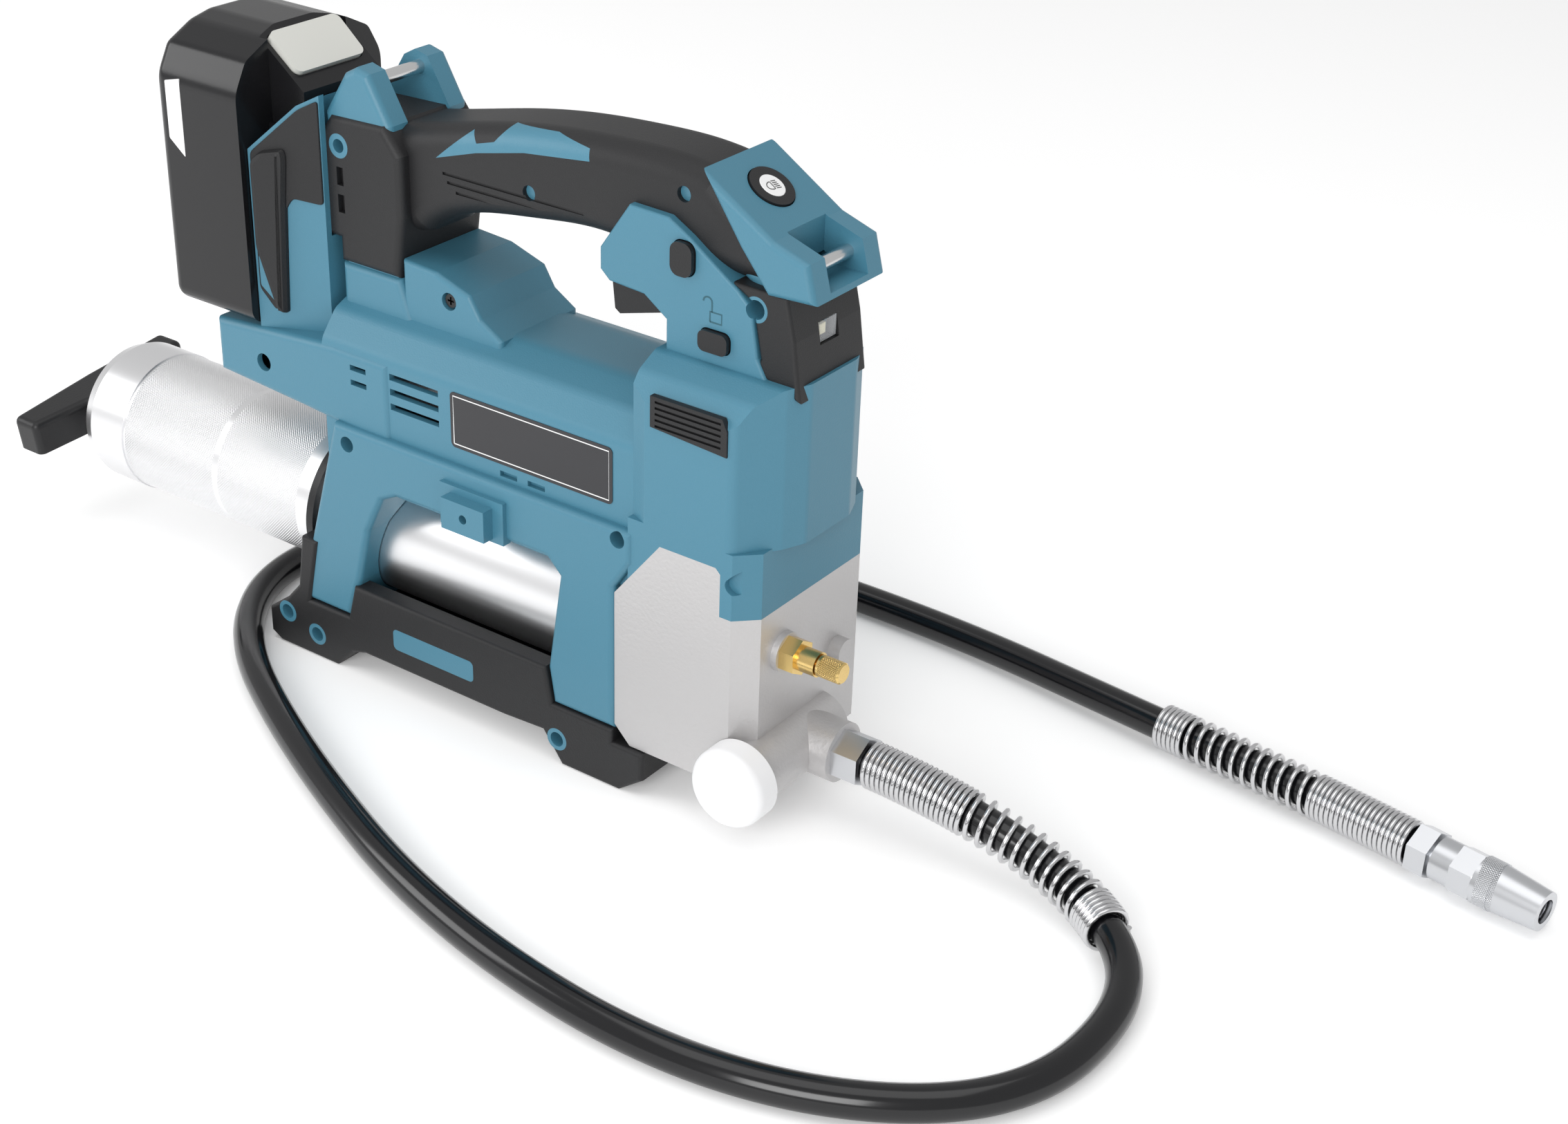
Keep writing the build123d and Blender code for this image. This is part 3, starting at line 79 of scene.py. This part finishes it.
def softbox(name, spot, target, width, height, power):
    """A rectangular light at spot, facing target."""
    lamp = bpy.data.lights.new(name, "AREA")
    lamp.shape, lamp.size, lamp.size_y, lamp.energy = "RECTANGLE", width, height, power
    holder = bpy.data.objects.new(name, lamp)
    aim = (Vector(target) - Vector(spot)).to_track_quat("-Z", "Y")
    holder.matrix_world = Matrix.Translation(spot) @ aim.to_matrix().to_4x4()
    bpy.context.collection.objects.link(holder)


softbox("overhead", (0.1, -0.2, 1.6), (0, 0, 0.1), 1.6, 1.2, 7.0)
softbox("left_front", (0.6, -1.6, 0.8), (0, 0, 0.1), 0.9, 0.9, 17.0)
softbox("left_rear", (-1.3, -0.9, 0.8), (-0.1, 0, 0.1), 0.8, 0.8, 7.0)

# ---- Hose: high-pressure rubber hose, 12.4 mm, swaged into the outlet nut.
# It leaves straight ahead, drops to the ground and lies in one loose loop round the tool.
hose_points = np.array([
    (198.5, -0.5, 27.5), (236.5, -0.5, 27.5), (292.5, 2.5, 11), (336.5, -31.5, 7.5), (330.5, -107.5, 6.5),
    (248.5, -152.5, 6.5), (130.5, -143.5, 6.5), (18.5, -98.5, 6.5), (-68.5, -48.5, 6.5),
    (-94.5, 14.5, 6.5), (-50.5, 90.5, 6.5), (50.5, 126.5, 6.5), (160.5, 130.5, 6.5), (260.5, 114.5, 9.7),
    (333.5, 106, 10.2), (376.5, 97.9, 10.2)]) / 1000
hose_radius = 0.0062
hose_line = bpy.data.curves.new("hose", "CURVE")
hose_line.dimensions = "3D"
spline = hose_line.splines.new("NURBS")
spline.points.add(len(hose_points) - 1)
spline.points.foreach_set("co", np.hstack([hose_points, np.ones((len(hose_points), 1))]).ravel())
spline.order_u = 3
spline.use_endpoint_u = True
spline.resolution_u = 24
hose = bpy.data.objects.new("hose_tube", hose_line)
bpy.context.collection.objects.link(hose)
bare = bpy.data.meshes.new_from_object(hose)
hose_path = np.empty(3 * len(bare.vertices))
bare.vertices.foreach_get("co", hose_path)
hose_path = hose_path.reshape(-1, 3)
hose_length = np.linalg.norm(np.diff(hose_path, axis=0), axis=1).sum()
hose_line.bevel_depth, hose_line.bevel_resolution, hose_line.use_fill_caps = hose_radius, 6, True


def new_material(name, color, roughness, metallic=0.0):
    """A Principled material of one colour; its nodes can be added to."""
    made = bpy.data.materials.new(name)
    made.use_nodes = True
    shader = made.node_tree.nodes["Principled BSDF"]
    shader.inputs["Base Color"].default_value = (*color, 1)
    shader.inputs["Roughness"].default_value = roughness
    shader.inputs["Metallic"].default_value = metallic
    return made


hose_line.materials.append(new_material("hose_rubber_black", (0.004, 0.004, 0.005), 0.16))
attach(hose, "tool")
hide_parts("hose")


# ---- Spring guards: 2 mm plated wire wound over both ends of the hose, close against the
# fitting, open in the middle and close again at the free end.
def add_surface(name, grids, material, smooth=True):
    """One mesh of several grids of points: rows run along the piece, columns run round it, and the
    first and last row are closed by a face."""
    points, faces, flags = [], [], []
    for grid in grids:
        rows, columns = grid.shape[:2]
        r, c = np.meshgrid(np.arange(rows - 1), np.arange(columns), indexing="ij")
        nc = (c + 1) % columns
        start = sum(len(p) for p in points)
        low, high = start + r * columns, start + (r + 1) * columns
        quads = np.stack([low + c, low + nc, high + nc, high + c], axis=-1)
        faces += quads.reshape(-1, 4).tolist()
        flags += [smooth] * quads[..., 0].size
        first = start + np.arange(columns)
        faces += [first[::-1].tolist(), (first + (rows - 1) * columns).tolist()]
        flags += [False, False]
        points.append(grid.reshape(-1, 3))
    mesh = bpy.data.meshes.new(name)
    mesh.from_pydata(np.concatenate(points).tolist(), [], faces)
    mesh.polygons.foreach_set("use_smooth", np.array(flags))
    mesh.materials.append(material)
    piece = bpy.data.objects.new(name, mesh)
    bpy.context.collection.objects.link(piece)
    return piece


def unit(v):
    """Vectors scaled to length 1: v / |v|."""
    return v / np.linalg.norm(v, axis=-1, keepdims=True)


def wound_guard(name, stations, turns, coil_radius, wire_radius, material):
    """Wire wound round the hose: at distance s along the hose the wire has made turns(s) turns and
    stands coil_radius from its centre line; a circle of wire_radius is carried along that helix."""
    measured = np.r_[0, np.cumsum(np.linalg.norm(np.diff(hose_path, axis=0), axis=1))]
    centre = np.stack([np.interp(stations, measured, hose_path[:, i]) for i in range(3)], axis=1)
    ahead = unit(np.gradient(centre, axis=0))
    side = unit(np.cross([0.0, 0.0, 1.0], ahead))
    over = np.cross(ahead, side)
    turn = 2 * np.pi * turns[:, None]
    radial = np.cos(turn) * side + np.sin(turn) * over
    wire = centre + coil_radius * radial
    run = unit(np.gradient(wire, axis=0))
    binormal = unit(np.cross(run, radial))
    outward = np.cross(binormal, run)
    angle = 2 * np.pi * np.arange(8) / 8
    ring = np.cos(angle)[None, :, None] * outward[:, None] + np.sin(angle)[None, :, None] * binormal[:, None]
    return add_surface(name, [wire[:, None] + wire_radius * ring], material)


coil_radius, wire_radius = 0.0079, 0.001
spring_bright = new_material("spring_bright", (0.62, 0.62, 0.63), 0.16, 1.0)
guard_coils = np.cumsum(np.r_[0, np.full(20, 2.06), np.full(11, 5.0), np.full(6, 2.06)]) / 1000


def guard_turns(direction, start):
    """Stations along the hose and the turns made there, from the table of coil heights."""
    steps = np.linspace(0, len(guard_coils) - 1, 26 * (len(guard_coils) - 1) + 1)
    height = np.interp(steps, np.arange(len(guard_coils)), guard_coils)
    return (start + direction * height)[::direction], (direction * steps)[::direction]


head_stations, head_turns = guard_turns(1, 0.0095)
head_guard = wound_guard("guard_spring_head_wire", head_stations, head_turns, coil_radius, wire_radius,
                         spring_bright)
end_stations, end_turns = guard_turns(-1, hose_length - 0.0012)
end_guard = wound_guard("guard_spring_coupler_wire", end_stations, end_turns, coil_radius, wire_radius,
                        spring_bright)
for guard, node in ((head_guard, "guard_spring_head"), (end_guard, "guard_spring_coupler")):
    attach(guard, "tool")
    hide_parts(node)

# ---- Coupler: zinc-plated hexes and a conical sleeve that tightens the jaws. The sleeve's knurling
# is made further down, with the bleeder knob's.
def dress(material, *names):
    """Gives CAD nodes one material."""
    for name in names:
        for place in nodes[name].material_slots:
            place.material = material


zinc = new_material("zinc_plate", (0.60, 0.61, 0.63), 0.3, 1.0)
dress(zinc, "coupler_adapter", "coupler_body", "coupler_jaws", "hose_nut")

# ---- Housing: two glass-filled nylon halves and the battery mount in teal, with a fine
# spark-eroded grain that is noise used as bump.
def grain_group():
    """Fine moulded grain: noise of three octaves, scaled by the Scale socket, as one height."""
    group = bpy.data.node_groups.new("moulded_grain", "ShaderNodeTree")
    group.interface.new_socket("Scale", in_out="INPUT", socket_type="NodeSocketFloat")
    group.interface.new_socket("Height", in_out="OUTPUT", socket_type="NodeSocketFloat")
    enter = group.nodes.new("NodeGroupInput")
    leave = group.nodes.new("NodeGroupOutput")
    where = group.nodes.new("ShaderNodeTexCoord")
    noise = group.nodes.new("ShaderNodeTexNoise")
    noise.inputs["Detail"].default_value = 3
    group.links.new(where.outputs["Object"], noise.inputs["Vector"])
    group.links.new(enter.outputs["Scale"], noise.inputs["Scale"])
    group.links.new(noise.outputs["Fac"], leave.inputs["Height"])
    return group


grain = grain_group()


def grained(name, color, roughness, scale, depth, metallic=0.0):
    """A material with moulded grain as bump."""
    made = new_material(name, color, roughness, metallic)
    tree = made.node_tree
    texture = tree.nodes.new("ShaderNodeGroup")
    texture.node_tree = grain
    texture.inputs["Scale"].default_value = scale
    bump = tree.nodes.new("ShaderNodeBump")
    bump.inputs["Strength"].default_value = depth
    bump.inputs["Distance"].default_value = 0.0003
    tree.links.new(texture.outputs["Height"], bump.inputs["Height"])
    tree.links.new(bump.outputs["Normal"], tree.nodes["Principled BSDF"].inputs["Normal"])
    return made


teal = grained("teal_nylon", (0.055, 0.19, 0.27), 0.42, 1800, 0.25)
dress(teal, "housing_left", "housing_right", "battery_mount")

# ---- Soft grips, foot rails and pads: black elastomer moulded over the nylon. The small black
# parts, such as trigger, buttons and barrel ring, are harder nylon with a little more shine.
black_soft = grained("black_elastomer", (0.014, 0.014, 0.015), 0.5, 2200, 0.3)
black_hard = grained("black_nylon", (0.012, 0.012, 0.013), 0.38, 1500, 0.2)
dress(black_soft, "grip_left", "grip_right", "foot_rail_left", "foot_rail_right", "side_pad_left",
      "side_pad_right")
dress(black_hard, "barrel_ring", "trigger", "trigger_switch", "controller", "t_handle", "lock_on_button",
      "lock_off_button", "lamp_button")

# ---- Battery: smooth black case in two shells; the release button is satin grey all over.
# All three blacks get the same slightly lowered specular level.
battery_black = grained("battery_black", (0.008, 0.008, 0.009), 0.24, 1500, 0.08)
dress(battery_black, "battery_lower_case", "battery_upper_case")
for finish in (black_soft, black_hard, battery_black):
    finish.node_tree.nodes["Principled BSDF"].inputs["Specular IOR Level"].default_value = 0.36
dress(new_material("release_grey", (0.62, 0.62, 0.58), 0.35), "battery_release_button")

# ---- Battery mount cover: black elastomer moulded over both sides of the teal mount. A raised,
# tapering blade runs down it towards the cradle and a teal edge stays bare along the battery.
def rounded(corners, radius, steps=5):
    """Outline with its corners rounded: between the points at distance radius before and after a
    corner runs the curve (1-t)^2 a + 2t(1-t) corner + t^2 b."""
    corners = np.array(corners, float)
    before, after = np.roll(corners, 1, axis=0) - corners, np.roll(corners, -1, axis=0) - corners
    shorter = np.minimum(np.linalg.norm(before, axis=1), np.linalg.norm(after, axis=1))
    reach = np.minimum(radius, 0.45 * shorter)
    a, b = corners + reach[:, None] * unit(before), corners + reach[:, None] * unit(after)
    t = np.linspace(0, 1, steps)[None, :, None]
    curve = (1 - t) ** 2 * a[:, None] + 2 * t * (1 - t) * corners[:, None] + t ** 2 * b[:, None]
    return curve.reshape(-1, 2)


def inset(line, distance):
    """The outline moved inwards: each point moves along the mean of the two normals beside it."""
    ahead, behind = unit(np.roll(line, -1, axis=0) - line), unit(line - np.roll(line, 1, axis=0))
    normal = unit(ahead + behind)[:, ::-1] * (-1, 1)
    following = np.roll(line, -1, axis=0)
    area = (line[:, 0] * following[:, 1] - line[:, 1] * following[:, 0]).sum()
    return line + np.sign(area) * distance * normal


def raised(line, height, bevel, sink=0.0005):
    """Rings (u, v, height) of a plate with a bevelled rim, from below its base up to its top."""
    rings = [(line, -sink), (line, height - bevel), (inset(line, 0.3 * bevel), height - 0.3 * bevel),
             (inset(line, bevel), height)]
    return np.stack([np.column_stack([ring, np.full(len(ring), h)]) for ring, h in rings])


def on_side(grid, half, hand, middle):
    """Carries (x, z, height) to the side face of a piece: y = middle + hand (half(x) + height)."""
    x, z, height = grid[..., 0], grid[..., 1], grid[..., 2]
    placed = np.stack([x, middle + hand * (half(x) + height), z], axis=-1)
    return placed if hand > 0 else placed[:, ::-1]


mount_low, mount_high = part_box("battery_mount")
mount_rear, mount_middle = mount_low.x, (mount_low.y + mount_high.y) / 2
mount_half = (mount_high.y - mount_low.y) / 2


def mount_side(x):
    """Half width of the mount at x: it narrows by 9 mm over 29.1 mm."""
    return mount_half - 9.0 / 29.1 * (x - mount_rear)


cover = np.array([(1.3, 151), (1.3, 204.3), (20.6, 222.6), (28.8, 227.2), (28.8, 187.5), (16.8, 188.5),
                  (14.0, 184), (11.5, 152), (7.5, 142.5)])
blade = np.array([(2.2, 168), (2.2, 201.5), (6.0, 205.5), (15.2, 207.5), (15.8, 204), (14.4, 186),
                  (13.2, 160), (12.4, 142.2), (9.0, 143.6)])
window = np.array([(1.9, 152.3), (1.9, 164.5), (7.4, 165.5), (9.4, 147.2), (7.6, 146)])
for corners in (cover, blade, window):
    corners /= 1000
    corners[:, 0] += mount_rear
for side, hand in (("left", -1), ("right", 1)):
    sheets = [on_side(raised(rounded(cover, 0.0018), 0.0008, 0.0004), mount_side, hand, mount_middle),
              on_side(raised(rounded(blade, 0.0022), 0.0036, 0.0022), mount_side, hand, mount_middle)]
    skin = add_surface("mount_cover_" + side, sheets, black_soft, smooth=False)
    sheet = on_side(raised(rounded(window, 0.001), 0.0010, 0.0003), mount_side, hand, mount_middle)
    pane = add_surface("mount_window_" + side, [sheet], teal, smooth=False)
    for piece, finish in ((skin, "black_rubber"), (pane, "blue_shell")):
        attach(piece, "tool")

# ---- Lamp button: black rubber cap with a pale printed disc that shows a plain lamp symbol.
def ribbon(path, normal, width, thick=0.00008):
    """A flat printed line: four corners at +-width/2 across the path and 0, thick along the normal."""
    across = unit(np.cross(normal, np.gradient(path, axis=0))) * width / 2
    lift = np.asarray(normal) * thick
    return np.stack([path - across, path + across, path + across + lift, path - across + lift], axis=1)


lamp_tilt = radians(31.8)
lamp_normal = np.array([sin(lamp_tilt), 0.0, cos(lamp_tilt)])
lamp_down = np.array([cos(lamp_tilt), 0.0, -sin(lamp_tilt)])
lamp_across = np.array([0.0, 1.0, 0.0])
lamp_centre = np.array(sum(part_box("lamp_button"), Vector()) / 2) + 0.0025 * lamp_normal


def on_lamp(u, v, height=0.0):
    """A point of the lamp button's face, u down its slope and v across it."""
    u, v = np.asarray(u, float)[..., None], np.asarray(v, float)[..., None]
    return lamp_centre + u * lamp_down + v * lamp_across + height * lamp_normal


around_disc = np.linspace(0, 2 * np.pi, 48, endpoint=False)
disc_rings = np.stack([on_lamp(r * np.cos(around_disc), r * np.sin(around_disc), h)
                       for r, h in ((0.0048, -0.0004), (0.0048, 0.0001), (0.0046, 0.0002))])
lamp_disc = add_surface("lamp_button_disc", [disc_rings], new_material("print_white", (0.8, 0.8, 0.8), 0.4))
bow = np.linspace(-np.pi / 2, np.pi / 2, 20)
bow_u = np.r_[0.0016 * np.sin(bow), 0.0016, -0.0016, -0.0016]
bow_v = np.r_[-0.0006 - 0.0022 * np.cos(bow), -0.0002, -0.0002, -0.0006]
symbol = [ribbon(on_lamp(bow_u, bow_v, 0.0002), lamp_normal, 0.0003)]
symbol += [ribbon(on_lamp(np.array([u, u + 0.0004]), np.array([0.0005, 0.0026]), 0.0002), lamp_normal, 0.0003)
           for u in (-0.0016, -0.0008, 0.0, 0.0008, 0.0016)]
print_black = new_material("print_black", (0.01, 0.01, 0.01), 0.4)
lamp_symbol = add_surface("lamp_button_symbol", symbol, print_black, smooth=False)
for piece, finish in ((lamp_disc, "white_plastic"), (lamp_symbol, "black_plastic")):
    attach(piece, "lamp_switch")

# ---- Work lamp: a clear lens, here a surface of alpha 0.3, over a square yellow emitter that
# stands on the lamp board behind it.
lens_low, lens_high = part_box("lamp_lens")
clear = new_material("lens_clear", (0.75, 0.77, 0.8), 0.05)
clear.node_tree.nodes["Principled BSDF"].inputs["Alpha"].default_value = 0.3
dress(clear, "lamp_lens")
emitter_y, emitter_z = (lens_low.y + lens_high.y) / 2 - 0.0012, (lens_low.z + lens_high.z) / 2
square = np.array([(-1, -1), (1, -1), (1, 1), (-1, 1)]) * 0.0019
chip_rings = np.stack([np.column_stack([np.full(4, lens_high.x - depth), emitter_y + grow * square[:, 0],
                                        emitter_z + grow * square[:, 1]])
                       for depth, grow in ((0.004, 1.0), (0.0012, 1.0), (0.0010, 0.8))])
chip_yellow = new_material("emitter_yellow", (0.85, 0.8, 0.55), 0.3)
chip = add_surface("lamp_emitter", [chip_rings], chip_yellow, smooth=False)
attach(chip, "tool")

# ---- Open padlock, sunk into the teal side above the lock-off bar, its lines dark teal as painted shade
# of the sunk lines, and the pale print on the label and on the battery: a plain border and a plain bar.
bar_low, bar_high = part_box("lock_off_button")
shroud_y = bar_low.y + 0.002
lock_x, lock_z = (bar_low.x + bar_high.x) / 2, bar_high.z + 0.0052
shackle = np.linspace(0, np.pi, 16)
lock_lines = [np.array([(-2.4, -2.4), (2.4, -2.4), (2.4, 1.2), (-2.4, 1.2), (-2.4, -2.4)]) / 1000,
              np.column_stack([-0.0034 + 0.0018 * np.cos(shackle), 0.0044 + 0.0018 * np.sin(shackle)]),
              np.array([(-1.6, 1.2), (-1.6, 4.4)]) / 1000]
side_normal = np.array([0.0, -1.0, 0.0])
lock_paths = [np.column_stack([lock_x + line[:, 0], np.full(len(line), shroud_y), lock_z + line[:, 1]])
              for line in lock_lines]
lock_ribbons = [ribbon(path, side_normal, 0.0006) for path in lock_paths]
# The padlock's dark teal film is painted shade: it stands for the shade inside the sunk lines, not a colour
# of the housing.
padlock_painted_shade = add_surface("padlock_mark", lock_ribbons, new_material("teal_shadow", (0.02, 0.09, 0.12), 0.6),
                       smooth=False)
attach(padlock_painted_shade, "tool")

label_low, label_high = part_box("name_label")
frame_x = np.array([0, 1, 1, 0, 0]) * (label_high.x - label_low.x - 0.003) + label_low.x + 0.0015
frame_z = np.array([0, 0, 1, 1, 0]) * (label_high.z - label_low.z - 0.003) + label_low.z + 0.0015
border = np.column_stack([frame_x, np.full(5, label_low.y), frame_z])
case_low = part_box("battery_lower_case")[0]
stripe = np.array([(0.0062, 0.088), (0.0140, 0.090), (0.0140, 0.060), (0.0062, 0.066)])
stripe += (case_low.x, case_low.z)
bar_grid = on_side(raised(rounded(stripe, 0.0006), 0.0001, 0.00003), lambda x: 0 * x - case_low.y, -1, 0.0)
print_pale = new_material("print_pale", (0.75, 0.75, 0.75), 0.4)
label_border = add_surface("label_border", [ribbon(border, side_normal, 0.0004)], print_pale, smooth=False)
battery_bar = add_surface("battery_bar", [bar_grid], print_pale, smooth=False)
for piece, body in ((label_border, "tool"), (battery_bar, "battery")):
    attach(piece, body)

# ---- Label: dark film under the plain border that is made above.
dress(new_material("label_dark", (0.02, 0.02, 0.023), 0.4), "name_label")

# ---- Barrel: bright aluminium tube and cap. The tube has two bands of diamond knurling, made as
# bump, with a plain ring between them.
barrel_bright = new_material("barrel_bright", (0.85, 0.85, 0.86), 0.32, 1.0)
dress(barrel_bright, "barrel_cap", "follower_rod")
tube_low, tube_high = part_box("barrel_tube")
tube_y, tube_z = (tube_low.y + tube_high.y) / 2, (tube_low.z + tube_high.z) / 2
bands = ((tube_low.x + 0.0015, tube_low.x + 0.0535), (tube_low.x + 0.0565, tube_low.x + 0.101))


def knurled(name, color, roughness, centre, radius, pitch, stretches, depth):
    """Metal with diamond knurling: height = |sin k(u+v)| |sin k(u-v)|, where u is the angle about the
    axis times the radius, v runs along the axis and k = pi / pitch, inside the given stretches."""
    made = new_material(name, color, roughness, 1.0)
    tree = made.node_tree
    group = bpy.data.node_groups.new(name + "_height", "ShaderNodeTree")
    group.interface.new_socket("Height", in_out="OUTPUT", socket_type="NodeSocketFloat")
    link = group.links.new

    def math(operation, first, second=None):
        node = group.nodes.new("ShaderNodeMath")
        node.operation = operation
        for place, value in zip(node.inputs, (first, second)):
            if hasattr(value, "links"):
                link(value, place)
            elif value is not None:
                place.default_value = value
        return node.outputs[0]

    parts = group.nodes.new("ShaderNodeSeparateXYZ")
    link(group.nodes.new("ShaderNodeTexCoord").outputs["Object"], parts.inputs[0])
    x, y, z = parts.outputs
    angle = math("ARCTAN2", math("SUBTRACT", y, centre[1]), math("SUBTRACT", z, centre[2]))
    u = math("MULTIPLY", angle, radius)
    waves = [math("ABSOLUTE", math("SINE", math("MULTIPLY", math(way, u, x), np.pi / pitch)))
             for way in ("ADD", "SUBTRACT")]
    inside = [math("MULTIPLY", math("GREATER_THAN", x, a), math("LESS_THAN", x, b)) for a, b in stretches]
    mask = inside[0] if len(inside) == 1 else math("ADD", *inside)
    link(math("MULTIPLY", math("MULTIPLY", *waves), mask), group.nodes.new("NodeGroupOutput").inputs[0])
    texture = tree.nodes.new("ShaderNodeGroup")
    texture.node_tree = group
    bump = tree.nodes.new("ShaderNodeBump")
    bump.inputs["Strength"].default_value = depth
    bump.inputs["Distance"].default_value = 0.0004
    tree.links.new(texture.outputs["Height"], bump.inputs["Height"])
    tree.links.new(bump.outputs["Normal"], tree.nodes["Principled BSDF"].inputs["Normal"])
    return made


dress(knurled("barrel_knurled", (0.85, 0.85, 0.86), 0.32, (0, tube_y, tube_z), tube_high.z - tube_z, 0.0012,
              bands, 0.5), "barrel_tube")

# ---- Pump head and outlet manifold: sand-cast aluminium, shot-blasted, with a coarser grain
# than the mouldings; a white cap closes the spare port.
casting = grained("blasted_casting", (0.56, 0.55, 0.55), 0.5, 700, 0.55, 0.75)
dress(casting, "pump_head", "outlet_manifold")
dress(new_material("port_white", (0.82, 0.82, 0.83), 0.35), "port_cap")

# ---- Bleeder: a turned brass hex body with a small knob that is knurled for the fingers. The
# coupler's sleeve has the same knurling in zinc, on a stretch near its rear end.
dress(new_material("bleeder_brass", (0.78, 0.56, 0.22), 0.25, 1.0), "bleeder_body")
knob_low, knob_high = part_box("bleeder_knob")
knob_axis = (knob_low + knob_high) / 2
knob_radius = (knob_high.z - knob_low.z) / 2
dress(knurled("bleeder_knob_brass", (0.78, 0.56, 0.22), 0.25, knob_axis, knob_radius, 0.0009,
              [(knob_high.x - 0.0085, knob_high.x - 0.0008)], 0.9), "bleeder_knob")
sleeve_low, sleeve_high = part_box("coupler_sleeve")
sleeve_axis = (sleeve_low + sleeve_high) / 2
sleeve_radius = (sleeve_high.z - sleeve_low.z) / 2
dress(knurled("coupler_sleeve_zinc", (0.60, 0.61, 0.63), 0.3, sleeve_axis, sleeve_radius, 0.001,
              [(sleeve_low.x + 0.002, sleeve_low.x + 0.009)], 0.7), "coupler_sleeve")

# ---- Small steel parts: blackened screws in the housing and bright pins through the strap
# lugs.
dress(new_material("blackened_steel", (0.05, 0.05, 0.05), 0.35, 1.0), "housing_screws")
dress(new_material("pin_steel", (0.7, 0.7, 0.7), 0.2, 1.0), "rear_strap_pin", "front_strap_pin")
